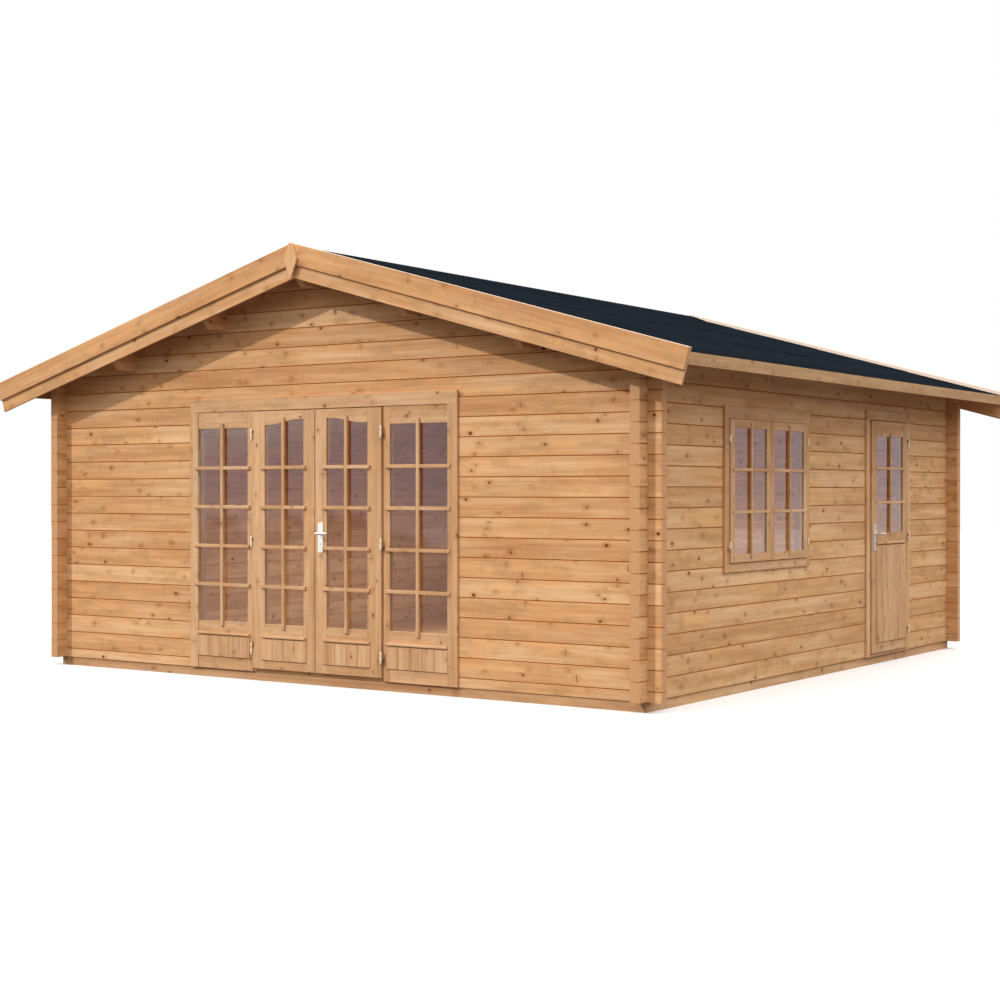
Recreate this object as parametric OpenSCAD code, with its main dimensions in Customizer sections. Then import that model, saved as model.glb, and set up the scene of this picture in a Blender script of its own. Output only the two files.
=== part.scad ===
// Log cabin with a double front door, a side window and a side door.
// Millimetres, +Z up, front towards -Y, origin on the ground under the middle of the walls.

/* [Log walls] */
// Width over the outer faces of the side walls
cabin_w = 5400; // [4200:50:7200]
// Depth over the outer faces of the front and back walls
cabin_d = 5400; // [4800:50:7200]
// Height of the side walls above the foundation, at their outer face
wall_h = 2255; // [2150:5:2600]
// Thickness of a log
log_t = 70; // [45:1:95]
// Height of one log row
log_h = 135; // [110:1:180]
// Length that the logs run past a corner
log_tail = 100; // [60:5:180]
// Depth of the V between two rows
vee = 4; // [1:0.5:8]

/* [Foundation and floor] */
// Height of the foundation beams
base_h = 67; // [40:1:120]
// Width of the foundation beams
base_w = 90; // [80:5:160]
// Distance that the beams lie back from the walls' faces
base_back = 10; // [0:1:20]
// Thickness of the floor boards
floor_t = 20; // [16:1:30]
// Width of a floor bearer
bearer_w = 60; // [40:5:90]
// Number of floor bearers
bearer_count = 7; // [3:1:12]

/* [Roof] */
// Slope of the roof in degrees
pitch = 15.6; // [10:0.1:30]
// Overhang of the deck past the front and back walls
gable_overhang = 238; // [120:2:450]
// Overhang of the deck past the side walls
eave_overhang = 380; // [200:5:600]
// Thickness of the deck boards
deck_t = 20; // [15:1:28]
// Thickness of the roofing felt
felt_t = 5; // [3:1:10]
// Width of a purlin
purlin_w = 50; // [40:1:90]
// Depth of a purlin under the deck
purlin_h = 240; // [140:5:300]
// Distance of the upper purlins from the ridge
purlin_upper_x = 900; // [600:10:1200]
// Distance of the lower purlins from the ridge
purlin_lower_x = 1850; // [1500:10:2200]
// Size of the chamfer under a purlin's end
purlin_nose = 75; // [20:5:120]

/* [Roof trim] */
// Depth of the barge boards
barge_h = 235; // [160:5:300]
// Thickness of the barge boards
barge_t = 18; // [15:1:30]
// Depth of the cover boards on the barge boards
cover_h = 142; // [80:2:150]
// Thickness of the cover boards
cover_t = 20; // [12:1:30]
// Height of the boards above the felt
barge_rise = 27; // [10:1:50]
// Length of the boards past the eave fascia
barge_end = 40; // [0:5:100]
// Depth of the eave fascia
fascia_h = 85; // [60:5:150]
// Thickness of the eave fascia
fascia_t = 20; // [15:1:30]
// Width of the apex block
apex_w = 122; // [80:2:200]
// Height of the apex block
apex_h = 258; // [200:2:320]
// Thickness of the apex block
apex_t = 20; // [12:1:30]
// Width of the apex block's top
apex_top_w = 26; // [10:2:60]
// Depth at which the apex block is widest
apex_wide_z = 115; // [60:5:150]

/* [Joinery] */
// Distance that casings stand out past the logs
casing_proud = 18; // [10:1:30]
// Distance that doors and sashes stand out past the logs
leaf_proud = 30; // [22:1:45]
// Distance that the fixed side panels stand out past the logs
panel_proud = 12; // [0:1:20]
// Thickness of doors, sashes and side panels
leaf_t = 40; // [35:1:60]
// Running gap beside and over a door
leaf_gap = 7; // [7:0.5:10]
// Running gap under and behind a door
foot_gap = 5; // [5:0.5:10]
// Gap round a sash
sash_gap = 3; // [2:0.5:6]
// Width of the stop that a door closes on
stop_w = 15; // [10:1:25]
// Thickness of the panes
glass_t = 4; // [3:1:6]
// Depth of the groove that holds a pane
glass_edge = 8; // [5:1:12]
// Distance from a leaf's face to its pane
glass_set = 9; // [6:1:26]
// Depth of the hollow behind a door's boarded foot
back_recess = 14; // [6:1:20]
// Height of the sills of the doors
sill_h = 20; // [10:1:40]

/* [Front doors] */
// Height of one front door
front_door_h = 1881; // [1700:1:1900]
// Width of one front door
front_door_w = 597; // [500:1:650]
// Width of one fixed side panel
side_panel_w = 554; // [400:1:620]
// Thickness of the front frame inside its opening
front_jamb_t = 40; // [25:1:60]
// Width of the front casing at the sides
front_casing_w = 82; // [60:1:110]
// Width of the front casing at the head
front_head_w = 92; // [70:1:120]
// Width of a door's stile on the hinge side
hinge_stile = 121; // [90:1:130]
// Width of a door's stile on the lock side
lock_stile = 104; // [80:1:130]
// Width of a side panel's stile beside the door
panel_stile = 57; // [40:1:80]
// Height of a front pane's lower edge above the foundation
front_glass_z = 355; // [300:1:500]
// Depth of a door's top rail at the hinge side
front_top_rail = 102; // [90:1:140]
// Rise of the curved top rail towards the middle of the pair
arch_rise = 37; // [0:1:50]
// Depth of a side panel's top rail
panel_top_rail = 124; // [80:1:150]
// Upper edge of the boarded panel above the foundation
front_board_top = 256; // [200:1:290]
// Lower edge of the boarded panel above the foundation
front_board_low = 90; // [60:1:130]

/* [Side window] */
// Distance from the front wall's outer face to the middle of the window
window_y = 1710; // [1300:5:1750]
// Width of one sash
sash_w = 617; // [450:1:650]
// Height of a sash
sash_h = 980; // [700:5:1000]
// Height of the sashes' lower edge above the foundation
sash_z = 835; // [700:5:900]
// Width of a sash's stiles and rails
sash_stile = 57; // [40:1:80]
// Width of the window's casing at the sides and under it
window_casing_w = 62; // [50:1:90]
// Width of the window's casing at the head
window_head_w = 86; // [50:1:110]
// Thickness of the window's frame inside its opening
window_jamb_t = 25; // [15:1:40]

/* [Side door] */
// Distance from the front wall's outer face to the middle of the side door
side_door_y = 3943; // [3700:1:4150]
// Width of the side door
side_door_w = 771; // [600:1:850]
// Height of the side door
side_door_h = 1861; // [1700:1:1900]
// Width of the side door's stiles
side_stile = 107; // [80:1:130]
// Depth of the side door's top rail
side_top_rail = 118; // [80:1:150]
// Lower edge of the side door's pane above the foundation
side_glass_z = 989; // [900:1:1100]
// Upper edge of the side door's boarded panel above the foundation
side_board_top = 895; // [800:1:950]
// Lower edge of the side door's boarded panel above the foundation
side_board_low = 107; // [80:1:150]
// Width of the side door's casing
side_casing_w = 66; // [50:1:90]
// Width of the side door's casing at the head
side_head_w = 78; // [60:1:100]
// Thickness of the side door's frame inside its opening
side_jamb_t = 34; // [20:1:50]

/* [Hinges and handles] */
// Radius of a hinge barrel
barrel_r = 7; // [5:0.5:10]
// Length of one hinge, both halves
hinge_len = 82; // [60:1:120]
// Radius of a hinge pin
pin_r = 4; // [2:0.5:5]
// Radial clearance of a hinge pin
pin_gap = 0.1; // [0.05:0.05:0.3]
// Distance of the highest hinge's middle from a door's top
hinge_from_top = 167; // [100:1:300]
// Distance of the lowest hinge's middle from a door's foot
hinge_from_foot = 143; // [100:1:300]
// Height of the front handle plate's middle above the foundation
handle_z = 993; // [900:1:1100]
// Height of the side handle plate's middle above the foundation
side_handle_z = 952; // [850:1:1100]
// Height of the handle plate
plate_h = 216; // [150:2:260]
// Width of the handle plate
plate_w = 50; // [30:1:60]
// Thickness of the handle plate
plate_t = 6; // [3:1:10]
// Length of the lever
lever_len = 95; // [80:5:160]
// Radius of the lever
lever_r = 9; // [6:0.5:12]
// Distance of the lever from the plate
lever_out = 48; // [35:1:60]
// Height of the lever above the plate's middle
lever_up = 29; // [0:1:60]
// Thickness of the arms that hold a hinge barrel
arm_t = 4; // [3:0.5:6]
// Width of an arm's foot
arm_w = 10; // [8:1:16]

/* [Hidden] */
$fn = 48;
eps = 1;
// Clearance between sloping faces that lie on each other
seat = 0.1;
half_w = cabin_w / 2;
half_d = cabin_d / 2;
inner_w = half_w - log_t;
inner_d = half_d - log_t;
wall_end = half_d + log_tail;
half_row = log_h / 2;
quarter_row = log_h / 4;
slope = tan(pitch);
// Vertical thickness of a sloping layer, for each millimetre of its own thickness
rise = 1 / cos(pitch);

// Foundation beams and the floor inside them
base_x = half_w - base_back;
base_y = half_d - base_back;
floor_x = base_x - base_w;
floor_y = base_y - base_w;

// Height of the deck's underside, of the felt's underside and of the felt's top at a distance x
// from the ridge
ridge_z = base_h + wall_h + half_w * slope;
function deck_z(x) = ridge_z - abs(x) * slope;
function felt_z(x) = deck_z(x) + deck_t * rise;
function roof_z(x) = felt_z(x) + felt_t * rise;
row_count = ceil((ridge_z - base_h) / log_h) + 1;

deck_x = half_w + eave_overhang;
fascia_x = deck_x + fascia_t;
barge_x = fascia_x + barge_end;
deck_y = half_d + gable_overhang;
barge_y = deck_y + barge_t;
cover_y = barge_y + cover_t;
apex_z = roof_z(0) + barge_rise * rise;

// Where a door's stop begins, behind the outer face of the logs
stop_face = leaf_t - leaf_proud + foot_gap;
sill_top = base_h + sill_h;
leaf_z = sill_top + foot_gap;

// Front doorway: half widths of the doors' way, of the frame inside and of the hole in the logs
front_way = leaf_gap * 1.5 + front_door_w;
front_in = front_way + side_panel_w;
front_open = front_in + front_jamb_t;
front_head_z = leaf_z + front_door_h + leaf_gap;
front_rows = ceil((front_head_z - base_h + front_jamb_t / 2 - half_row) / log_h);
front_open_z = base_h + half_row + front_rows * log_h;

// A front door's pane, from its foot and its hinge side
front_pane_z0 = base_h + front_glass_z - leaf_z;
front_pane_z1 = front_door_h - front_top_rail;
front_pane_x1 = front_door_w - lock_stile;

// A fixed side panel, from the foundation and the frame's jamb
panel_h = front_head_z - base_h;
panel_pane_z1 = panel_h - panel_top_rail;
panel_x1 = side_panel_w - panel_stile;
panel_stop_y = stop_face + panel_proud;

// Window: half widths and [low, high] of the frame inside and of the hole in the logs
window_mid = window_y - half_d;
window_in = sash_w + 1.5 * sash_gap;
window_open = window_in + window_jamb_t;
window_z = base_h + sash_z;
window_in_z = [window_z - sash_gap, window_z + sash_h + sash_gap];
window_low_z = base_h + floor((window_in_z[0] - base_h - window_jamb_t / 2) / log_h) * log_h;
window_top_z = base_h + ceil((window_in_z[1] - base_h + window_jamb_t) / log_h) * log_h;

// Side doorway, and its door's pane
side_mid = side_door_y - half_d;
side_in = side_door_w / 2 + leaf_gap;
side_open = side_in + side_jamb_t;
side_head_z = leaf_z + side_door_h + leaf_gap;
side_top_z = max(side_head_z + side_jamb_t, window_top_z);
side_pane_z0 = base_h + side_glass_z - leaf_z;
side_pane_z1 = side_door_h - side_top_rail;

// Hinge axes stand in front of the doors' faces, in the middle of the gap beside the door
hinge_off = 1;
hinge_out = leaf_proud + barrel_r + hinge_off;
front_hinge_x = front_door_w + leaf_gap;
side_hinge_y = side_mid + side_door_w / 2 + leaf_gap / 2;
// Height of a hinge's arm, gap between its two barrels, pin's length and its bore's depth
arm_h = hinge_len / 4;
barrel_gap = 0.5;
pin_len = hinge_len * 0.85;
pin_bore = hinge_len * 0.45;

// Middle of the lock stiles, and the lever's clearance from its plate
front_lock_x = leaf_gap / 2 + lock_stile / 2;
side_lock_y = side_mid - side_door_w / 2 + side_stile / 2;
lever_gap = 0.3;
ARCH_STEPS = 16;

log_colour = "#cf9a69";
frame_colour = "#c39062";
trim_colour = "#d2a271";
board_colour = "#c08a5a";
felt_colour = "#2b3136";
glass_colour = [0.45, 0.42, 0.44, 0.5];
metal_colour = "silver";

// ---- log walls ----

// Cross-section of a stack of logs: x across the wall, y up, with a V at every row joint.
// first is the height of the lowest joint.
module log_section(first) {
    joints = [for (i = [0 : row_count]) first + i * log_h];
    polygon(concat(
        [[0, 0]],
        [for (z = joints) each [[0, z - vee], [vee, z], [0, z + vee]]],
        [[0, joints[row_count] + log_h], [log_t, joints[row_count] + log_h]],
        [for (i = [row_count : -1 : 0]) let (z = joints[i])
            each [[log_t, z + vee], [log_t - vee, z], [log_t, z - vee]]],
        [[log_t, 0]]));
}

// Logs that run along X from x0 to x1, from the outer face at y = 0 inwards (+Y).
// Their rows start with half a log.
module logs_x(x0, x1) {
    translate([x1, 0, base_h])
        rotate([90, 0, -90])
            mirror([1, 0, 0])
                linear_extrude(x1 - x0)
                    log_section(half_row);
}

// Logs that run along Y from y0 to y1, from x = 0 inwards (-X). Their rows start with a whole log.
module logs_y(y0, y1) {
    translate([0, y1, base_h])
        rotate([90, 0, 0])
            mirror([1, 0, 0])
                linear_extrude(y1 - y0)
                    log_section(log_h);
}

// The space that the side walls' logs fill where they cross a front or back wall log.
// x0 is the low side of the crossing, which is log_t wide; top is the highest notch to cut.
module x_notches(x0) {
    for (i = [0 : row_count])
        translate([x0, -eps, base_h + quarter_row + i * log_h])
            cube([log_t, log_t + 2 * eps, half_row]);
}

// The space that front and back wall logs fill in a side wall's log.
module y_notches(y0) {
    for (i = [0 : row_count])
        translate([-log_t - eps, y0, base_h - quarter_row + i * log_h])
            cube([log_t + 2 * eps, log_t, half_row]);
}

// Everything under the deck, as a shape to cut the walls with
module under_roof(x0, x1, z0 = base_h) {
    rotate([90, 0, 0])
        linear_extrude(2 * deck_y + 2 * eps, center = true)
            polygon(x0 < 0 && x1 > 0
                ? [[x0, z0], [x1, z0], [x1, deck_z(x1)], [0, deck_z(0)], [x0, deck_z(x0)]]
                : [[x0, z0], [x1, z0], [x1, deck_z(x1)], [x0, deck_z(x0)]]);
}

// Outline of one purlin at x, with its top cut to the deck
module purlin_outline(x) {
    low = deck_z(x) - purlin_h;
    left = x - purlin_w / 2;
    right = x + purlin_w / 2;
    polygon(x == 0
        ? [[left, low], [right, low], [right, deck_z(right)], [0, deck_z(0)], [left, deck_z(left)]]
        : [[left, low], [right, low], [right, deck_z(right)], [left, deck_z(left)]]);
}

module purlin_slots() {
    rotate([90, 0, 0])
        linear_extrude(2 * deck_y, center = true)
            for (x = [-purlin_lower_x, -purlin_upper_x, 0, purlin_upper_x, purlin_lower_x])
                purlin_outline(x);
}

// A gable wall from x0 to x1 and from z0 up, on the front; mirrored for the back
module end_wall(x0, x1, z0, z1) {
    difference() {
        intersection() {
            translate([0, -half_d, 0])
                difference() {
                    logs_x(x0, x1);
                    x_notches(-half_w);
                    x_notches(inner_w);
                }
            under_roof(-half_w - log_tail, half_w + log_tail, z0);
            translate([x0, -half_d - eps, z0])
                cube([x1 - x0, log_t + 2 * eps, z1 - z0]);
        }
        purlin_slots();
    }
}

module front_wall_left()
    color(log_colour) end_wall(-half_w - log_tail, -front_open, base_h, front_open_z);

module front_wall_right()
    color(log_colour) end_wall(front_open, half_w + log_tail, base_h, front_open_z);

module front_gable()
    color(log_colour) end_wall(-half_w - log_tail, half_w + log_tail, front_open_z, ridge_z);

module back_wall()
    color(log_colour)
        mirror([0, 1, 0]) end_wall(-half_w - log_tail, half_w + log_tail, base_h, ridge_z);

// A stretch of the right wall from y0 to y1 and from z0 to z1
module side_wall(y0, y1, z0, z1) {
    intersection() {
        translate([half_w, 0, 0])
            difference() {
                logs_y(y0, y1);
                y_notches(-half_d);
                y_notches(inner_d);
            }
        under_roof(inner_w, half_w);
        translate([inner_w - eps, y0, z0])
            cube([log_t + 2 * eps, y1 - y0, z1 - z0]);
    }
}

module left_wall()
    color(log_colour) mirror([1, 0, 0]) side_wall(-wall_end, wall_end, base_h, ridge_z);

module right_wall_front()
    color(log_colour) side_wall(-wall_end, window_mid - window_open, base_h, window_top_z);

module right_wall_under_window()
    color(log_colour)
        side_wall(window_mid - window_open, window_mid + window_open, base_h, window_low_z);

module right_wall_middle()
    color(log_colour)
        side_wall(window_mid + window_open, side_mid - side_open, base_h, window_top_z);

module right_wall_back()
    color(log_colour) side_wall(side_mid + side_open, wall_end, base_h, window_top_z);

module right_wall_top()
    color(log_colour)
        difference() {
            side_wall(-wall_end, wall_end, window_top_z, ridge_z);
            translate([inner_w - eps, side_mid - side_open, base_h])
                cube([log_t + 2 * eps, 2 * side_open, side_top_z - base_h]);
        }

// ---- foundation and floor ----

// A beam along the front, mitred at both ends
module mitred_beam(length, to_middle)
    linear_extrude(base_h)
        polygon([[-length, -to_middle], [length, -to_middle],
            [length - base_w, -to_middle + base_w], [-length + base_w, -to_middle + base_w]]);

module base_beams_long()
    color(frame_colour)
        for (turn = [0, 180]) rotate([0, 0, turn]) mitred_beam(base_x, base_y);

module base_beams_side()
    color(frame_colour)
        for (turn = [90, 270]) rotate([0, 0, turn]) mitred_beam(base_y, base_x);

module floor_boards()
    color(board_colour)
        translate([-floor_x, -floor_y, base_h - floor_t])
            cube([2 * floor_x, 2 * floor_y, floor_t]);

module floor_bearers()
    color(frame_colour)
        for (i = [0 : bearer_count - 1])
            translate([-floor_x, -floor_y + (2 * floor_y - bearer_w) * i / (bearer_count - 1), 0])
                cube([2 * floor_x, bearer_w, base_h - floor_t]);

// ---- roof ----

module purlin(x)
    difference() {
        rotate([90, 0, 0])
            linear_extrude(2 * deck_y, center = true)
                purlin_outline(x);
        for (end = [-1, 1])
            translate([x, end * deck_y, deck_z(x) - purlin_h])
                rotate([45, 0, 0])
                    cube([purlin_w + 2 * eps, purlin_nose * sqrt(2), purlin_nose * sqrt(2)], center = true);
    }

module ridge_purlin()
    color(trim_colour) purlin(0);

module purlins_left()
    color(trim_colour)
        for (x = [-purlin_upper_x, -purlin_lower_x]) purlin(x);

module purlins_right()
    color(trim_colour)
        for (x = [purlin_upper_x, purlin_lower_x]) purlin(x);

// A sheet on the right slope from the ridge to x1, between two heights at the ridge
module roof_sheet(x1, low, high)
    rotate([90, 0, 0])
        linear_extrude(2 * deck_y, center = true)
            polygon([[0, low], [x1, low - x1 * slope], [x1, high - x1 * slope], [0, high]]);

module roof_deck_right()
    color(board_colour) roof_sheet(deck_x, deck_z(0) + seat, felt_z(0) - seat);

module roof_deck_left()
    color(board_colour) mirror([1, 0, 0]) roof_sheet(deck_x, deck_z(0) + seat, felt_z(0) - seat);

module roof_felt_right()
    color(felt_colour) roof_sheet(fascia_x, felt_z(0), roof_z(0));

module roof_felt_left()
    color(felt_colour) mirror([1, 0, 0]) roof_sheet(fascia_x, felt_z(0), roof_z(0));

module fascia()
    rotate([90, 0, 0])
        linear_extrude(2 * deck_y, center = true)
            polygon([[deck_x, felt_z(deck_x) - seat], [fascia_x, felt_z(fascia_x) - seat],
                [fascia_x, roof_z(fascia_x) - fascia_h], [deck_x, roof_z(fascia_x) - fascia_h]]);

module eave_fascia_right()
    color(trim_colour) fascia();

module eave_fascia_left()
    color(trim_colour) mirror([1, 0, 0]) fascia();

// A board along the right slope, depth deep, with its end cut square to the slope
module sloping_board(depth, y0, thickness) {
    run = depth * sin(pitch);
    translate([0, y0, 0])
        rotate([90, 0, 0])
            linear_extrude(thickness)
                polygon([[0, apex_z], [barge_x, apex_z - barge_x * slope],
                    [barge_x - run, apex_z - barge_x * slope - depth * cos(pitch)],
                    [0, apex_z - depth * rise]]);
}

module both_ends()
    for (turn = [0, 1]) mirror([0, turn, 0]) children();

module barge_boards_right()
    color(trim_colour) both_ends() sloping_board(barge_h, -deck_y, barge_t);

module barge_boards_left()
    color(trim_colour) mirror([1, 0, 0]) both_ends() sloping_board(barge_h, -deck_y, barge_t);

module barge_covers_right()
    color(trim_colour) both_ends() sloping_board(cover_h, -barge_y, cover_t);

module barge_covers_left()
    color(trim_colour) mirror([1, 0, 0]) both_ends() sloping_board(cover_h, -barge_y, cover_t);

module apex_blocks()
    color(trim_colour)
        both_ends()
            translate([0, -cover_y, apex_z])
                rotate([90, 0, 0])
                    linear_extrude(apex_t)
                        polygon([[-apex_top_w / 2, -apex_top_w / 2 * slope], [-apex_w / 2, -apex_wide_z],
                            [0, -apex_h], [apex_w / 2, -apex_wide_z],
                            [apex_top_w / 2, -apex_top_w / 2 * slope], [0, 0]]);

// ---- joinery ----

// Front of a leaf is at y = 0 and it goes back to +Y; x from 0 to width, z from 0 to height.
// The pane's opening runs from x0 to x1 and z0 to z1, and its top rises by arch from x0 to x1.
module pane_opening(x0, x1, z0, z1, arch)
    translate([0, leaf_t + eps, 0])
        rotate([90, 0, 0])
            linear_extrude(leaf_t + 2 * eps)
                polygon(concat([[x0, z0], [x1, z0]],
                    [for (i = [ARCH_STEPS : -1 : 0])
                        [x0 + (x1 - x0) * i / ARCH_STEPS,
                         z1 + arch * (1 - cos(180 * i / ARCH_STEPS)) / 2]]));

module pane(x0, x1, z0, z1)
    translate([x0 - glass_edge, glass_set, z0 - glass_edge])
        cube([x1 - x0 + 2 * glass_edge, glass_t, z1 - z0 + 2 * glass_edge]);

// Hollow in a leaf's back, behind the boards of its foot
module foot_recess(x0, x1, z0, z1)
    translate([x0, leaf_t - back_recess, z0])
        cube([x1 - x0, back_recess + eps, z1 - z0]);

// One front door: hinge stile at x = 0, lock stile at x = front_door_w. Heights are above its foot.
module front_leaf()
    difference() {
        cube([front_door_w, leaf_t, front_door_h]);
        pane_opening(hinge_stile, front_pane_x1, front_pane_z0, front_pane_z1, arch_rise);
        front_pane();
        foot_recess(hinge_stile, front_pane_x1,
            base_h + front_board_low - leaf_z, base_h + front_board_top - leaf_z);
    }

module front_pane()
    pane(hinge_stile, front_pane_x1, front_pane_z0, front_pane_z1 + arch_rise);

module at_front_left()
    translate([-front_door_w - leaf_gap / 2, -half_d - leaf_proud, leaf_z]) children();

module at_front_right()
    mirror([1, 0, 0]) at_front_left() children();

module front_door_left()
    color(frame_colour) at_front_left() front_leaf();

module front_door_right()
    color(frame_colour) at_front_right() front_leaf();

module front_glass_left()
    color(glass_colour) at_front_left() front_pane();

module front_glass_right()
    color(glass_colour) at_front_right() front_pane();

// One fixed side panel: x = 0 at the frame's jamb, which serves as its outer stile. The stop
// that the door closes on is on its other side.
module fixed_panel()
    union() {
        difference() {
            cube([side_panel_w, leaf_t, panel_h]);
            translate([-eps, 0, 0])
                pane_opening(0, panel_x1 + eps, front_glass_z, panel_pane_z1, 0);
            panel_pane();
            foot_recess(-eps, panel_x1, front_board_low, front_board_top);
        }
        translate([side_panel_w - eps, panel_stop_y, sill_h])
            cube([stop_w + eps, leaf_t - panel_stop_y, panel_h - sill_h]);
    }

module panel_pane()
    translate([0, glass_set, front_glass_z - glass_edge])
        cube([panel_x1 + glass_edge, glass_t, panel_pane_z1 - front_glass_z + 2 * glass_edge]);

module at_panel_left()
    translate([-front_in, -half_d - panel_proud, base_h]) children();

module side_panel_left()
    color(frame_colour) at_panel_left() fixed_panel();

module side_panel_right()
    color(frame_colour) mirror([1, 0, 0]) at_panel_left() fixed_panel();

module side_panel_glass()
    color(glass_colour)
        for (turn = [0, 1]) mirror([turn, 0, 0]) at_panel_left() panel_pane();

// Front frame: jambs and head in the wall, and a casing over the logs
module front_door_frame()
    color(frame_colour)
        union() {
            difference() {
                union() {
                    translate([-front_open, -half_d - casing_proud, base_h])
                        cube([2 * front_open, log_t + casing_proud, front_open_z - base_h]);
                    translate([-front_in - front_casing_w, -half_d - casing_proud, base_h])
                        cube([2 * (front_in + front_casing_w), casing_proud,
                            front_head_z + front_head_w - base_h]);
                }
                translate([-front_in, -half_d - casing_proud - eps, base_h - eps])
                    cube([2 * front_in, log_t + casing_proud + 2 * eps, front_head_z - base_h + eps]);
            }
            translate([stop_w - front_way, stop_face - half_d, front_head_z - stop_w])
                cube([2 * (front_way - stop_w), log_t - stop_face, stop_w + eps]);
        }

module front_sill()
    color(frame_colour)
        translate([-front_way, -half_d, base_h]) cube([2 * front_way, log_t, sill_h]);

// Side window, drawn as if it were in a front wall at x = 0, then turned onto the right wall
module onto_right_wall(y)
    translate([half_w, y, 0]) rotate([0, 0, 90]) children();

module window_frame()
    color(frame_colour)
        onto_right_wall(window_mid)
            difference() {
                union() {
                    translate([-window_open, -casing_proud, window_low_z])
                        cube([2 * window_open, log_t + casing_proud, window_top_z - window_low_z]);
                    translate([-window_in - window_casing_w, -casing_proud,
                        window_in_z[0] - window_casing_w])
                        cube([2 * (window_in + window_casing_w), casing_proud,
                            window_in_z[1] - window_in_z[0] + window_casing_w + window_head_w]);
                }
                translate([-window_in, -casing_proud - eps, window_in_z[0]])
                    cube([2 * window_in, casing_proud + eps + leaf_t - leaf_proud,
                        window_in_z[1] - window_in_z[0]]);
                translate([-window_in + stop_w, 0, window_in_z[0] + stop_w])
                    cube([2 * (window_in - stop_w), log_t + eps,
                        window_in_z[1] - window_in_z[0] - 2 * stop_w]);
            }

module at_sash(side)
    onto_right_wall(window_mid)
        translate([side < 0 ? -sash_w - sash_gap / 2 : sash_gap / 2, -leaf_proud, window_z]) children();

module sash_pane()
    pane(sash_stile, sash_w - sash_stile, sash_stile, sash_h - sash_stile);

module window_sashes()
    color(frame_colour)
        for (side = [-1, 1])
            at_sash(side)
                difference() {
                    cube([sash_w, leaf_t, sash_h]);
                    pane_opening(sash_stile, sash_w - sash_stile, sash_stile, sash_h - sash_stile, 0);
                    sash_pane();
                }

module window_glass()
    color(glass_colour)
        for (side = [-1, 1]) at_sash(side) sash_pane();

module side_door_frame()
    color(frame_colour)
        onto_right_wall(side_mid)
            difference() {
                union() {
                    translate([-side_open, -casing_proud, base_h])
                        cube([2 * side_open, log_t + casing_proud, side_top_z - base_h]);
                    translate([-side_in - side_casing_w, -casing_proud, base_h])
                        cube([2 * (side_in + side_casing_w), casing_proud,
                            side_head_z + side_head_w - base_h]);
                }
                translate([-side_in, -casing_proud - eps, sill_top])
                    cube([2 * side_in, casing_proud + eps + stop_face, side_head_z - sill_top]);
                translate([-side_in + stop_w, 0, sill_top])
                    cube([2 * (side_in - stop_w), log_t + eps, side_head_z - stop_w - sill_top]);
            }

module at_side_door()
    onto_right_wall(side_mid)
        translate([-side_door_w / 2, -leaf_proud, leaf_z]) children();

module side_pane()
    pane(side_stile, side_door_w - side_stile, side_pane_z0, side_pane_z1);

module side_door()
    color(frame_colour)
        at_side_door()
            difference() {
                cube([side_door_w, leaf_t, side_door_h]);
                pane_opening(side_stile, side_door_w - side_stile, side_pane_z0, side_pane_z1, 0);
                side_pane();
                foot_recess(side_stile, side_door_w - side_stile,
                    base_h + side_board_low - leaf_z, base_h + side_board_top - leaf_z);
            }

module side_door_glass()
    color(glass_colour) at_side_door() side_pane();

// ---- hinges and handles ----

// Fixed half of a hinge, axis at x = 0, y = 0, mid-height at z = 0. Its arm goes back to
// the frame's face, reach behind the axis and to the side of +x.
module fixed_half(reach)
    translate([0, 0, -hinge_len / 2])
        union() {
            cylinder(r = barrel_r, h = (hinge_len - barrel_gap) / 2);
            cylinder(r = pin_r, h = pin_len);
            translate([leaf_gap / 2, 0, arm_h / 2])
                cube([arm_w, reach, arm_h]);
            translate([0, -arm_t / 2, arm_h / 2])
                cube([leaf_gap / 2 + arm_w, arm_t, arm_h]);
        }

// Half that turns with the door, with its arm to the door's face on the side of -x
module turning_half()
    difference() {
        union() {
            translate([0, 0, barrel_gap / 2])
                cylinder(r = barrel_r, h = (hinge_len - barrel_gap) / 2);
            translate([-arm_w - leaf_gap / 2, -arm_t / 2, arm_h / 2])
                cube([arm_w + leaf_gap / 2, arm_t, arm_h]);
            translate([-arm_w - leaf_gap / 2, 0, arm_h / 2])
                cube([arm_w, barrel_r + hinge_off, arm_h]);
        }
        cylinder(r = pin_r + pin_gap, h = pin_bore);
    }

// Heights of the three hinges on a door of height h
function hinge_heights(h) =
    let (low = hinge_from_foot, high = h - hinge_from_top) [low, (low + high) / 2, high];

module at_front_hinges()
    for (z = hinge_heights(front_door_h))
        translate([front_hinge_x, -half_d - hinge_out, leaf_z + z]) children();

module front_hinge_pins()
    color(metal_colour)
        for (turn = [0, 1])
            mirror([turn, 0, 0])
                at_front_hinges() fixed_half(hinge_out - panel_proud);

module front_barrels_right()
    color(metal_colour) at_front_hinges() turning_half();

module front_barrels_left()
    color(metal_colour) mirror([1, 0, 0]) at_front_hinges() turning_half();

module at_side_hinges()
    for (z = hinge_heights(side_door_h))
        translate([half_w + hinge_out, side_hinge_y, leaf_z + z]) rotate([0, 0, 90]) children();

module side_hinge_pins()
    color(metal_colour) at_side_hinges() fixed_half(hinge_out - casing_proud);

module side_barrels()
    color(metal_colour) at_side_hinges() turning_half();

// Plate on a door's face at y = 0, in front of it (-Y)
module handle_plate()
    rotate([90, 0, 0])
        linear_extrude(plate_t) {
            square([plate_w, plate_h - plate_w], center = true);
            for (end = [-1, 1])
                translate([0, end * (plate_h - plate_w) / 2]) circle(d = plate_w);
        }

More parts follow.
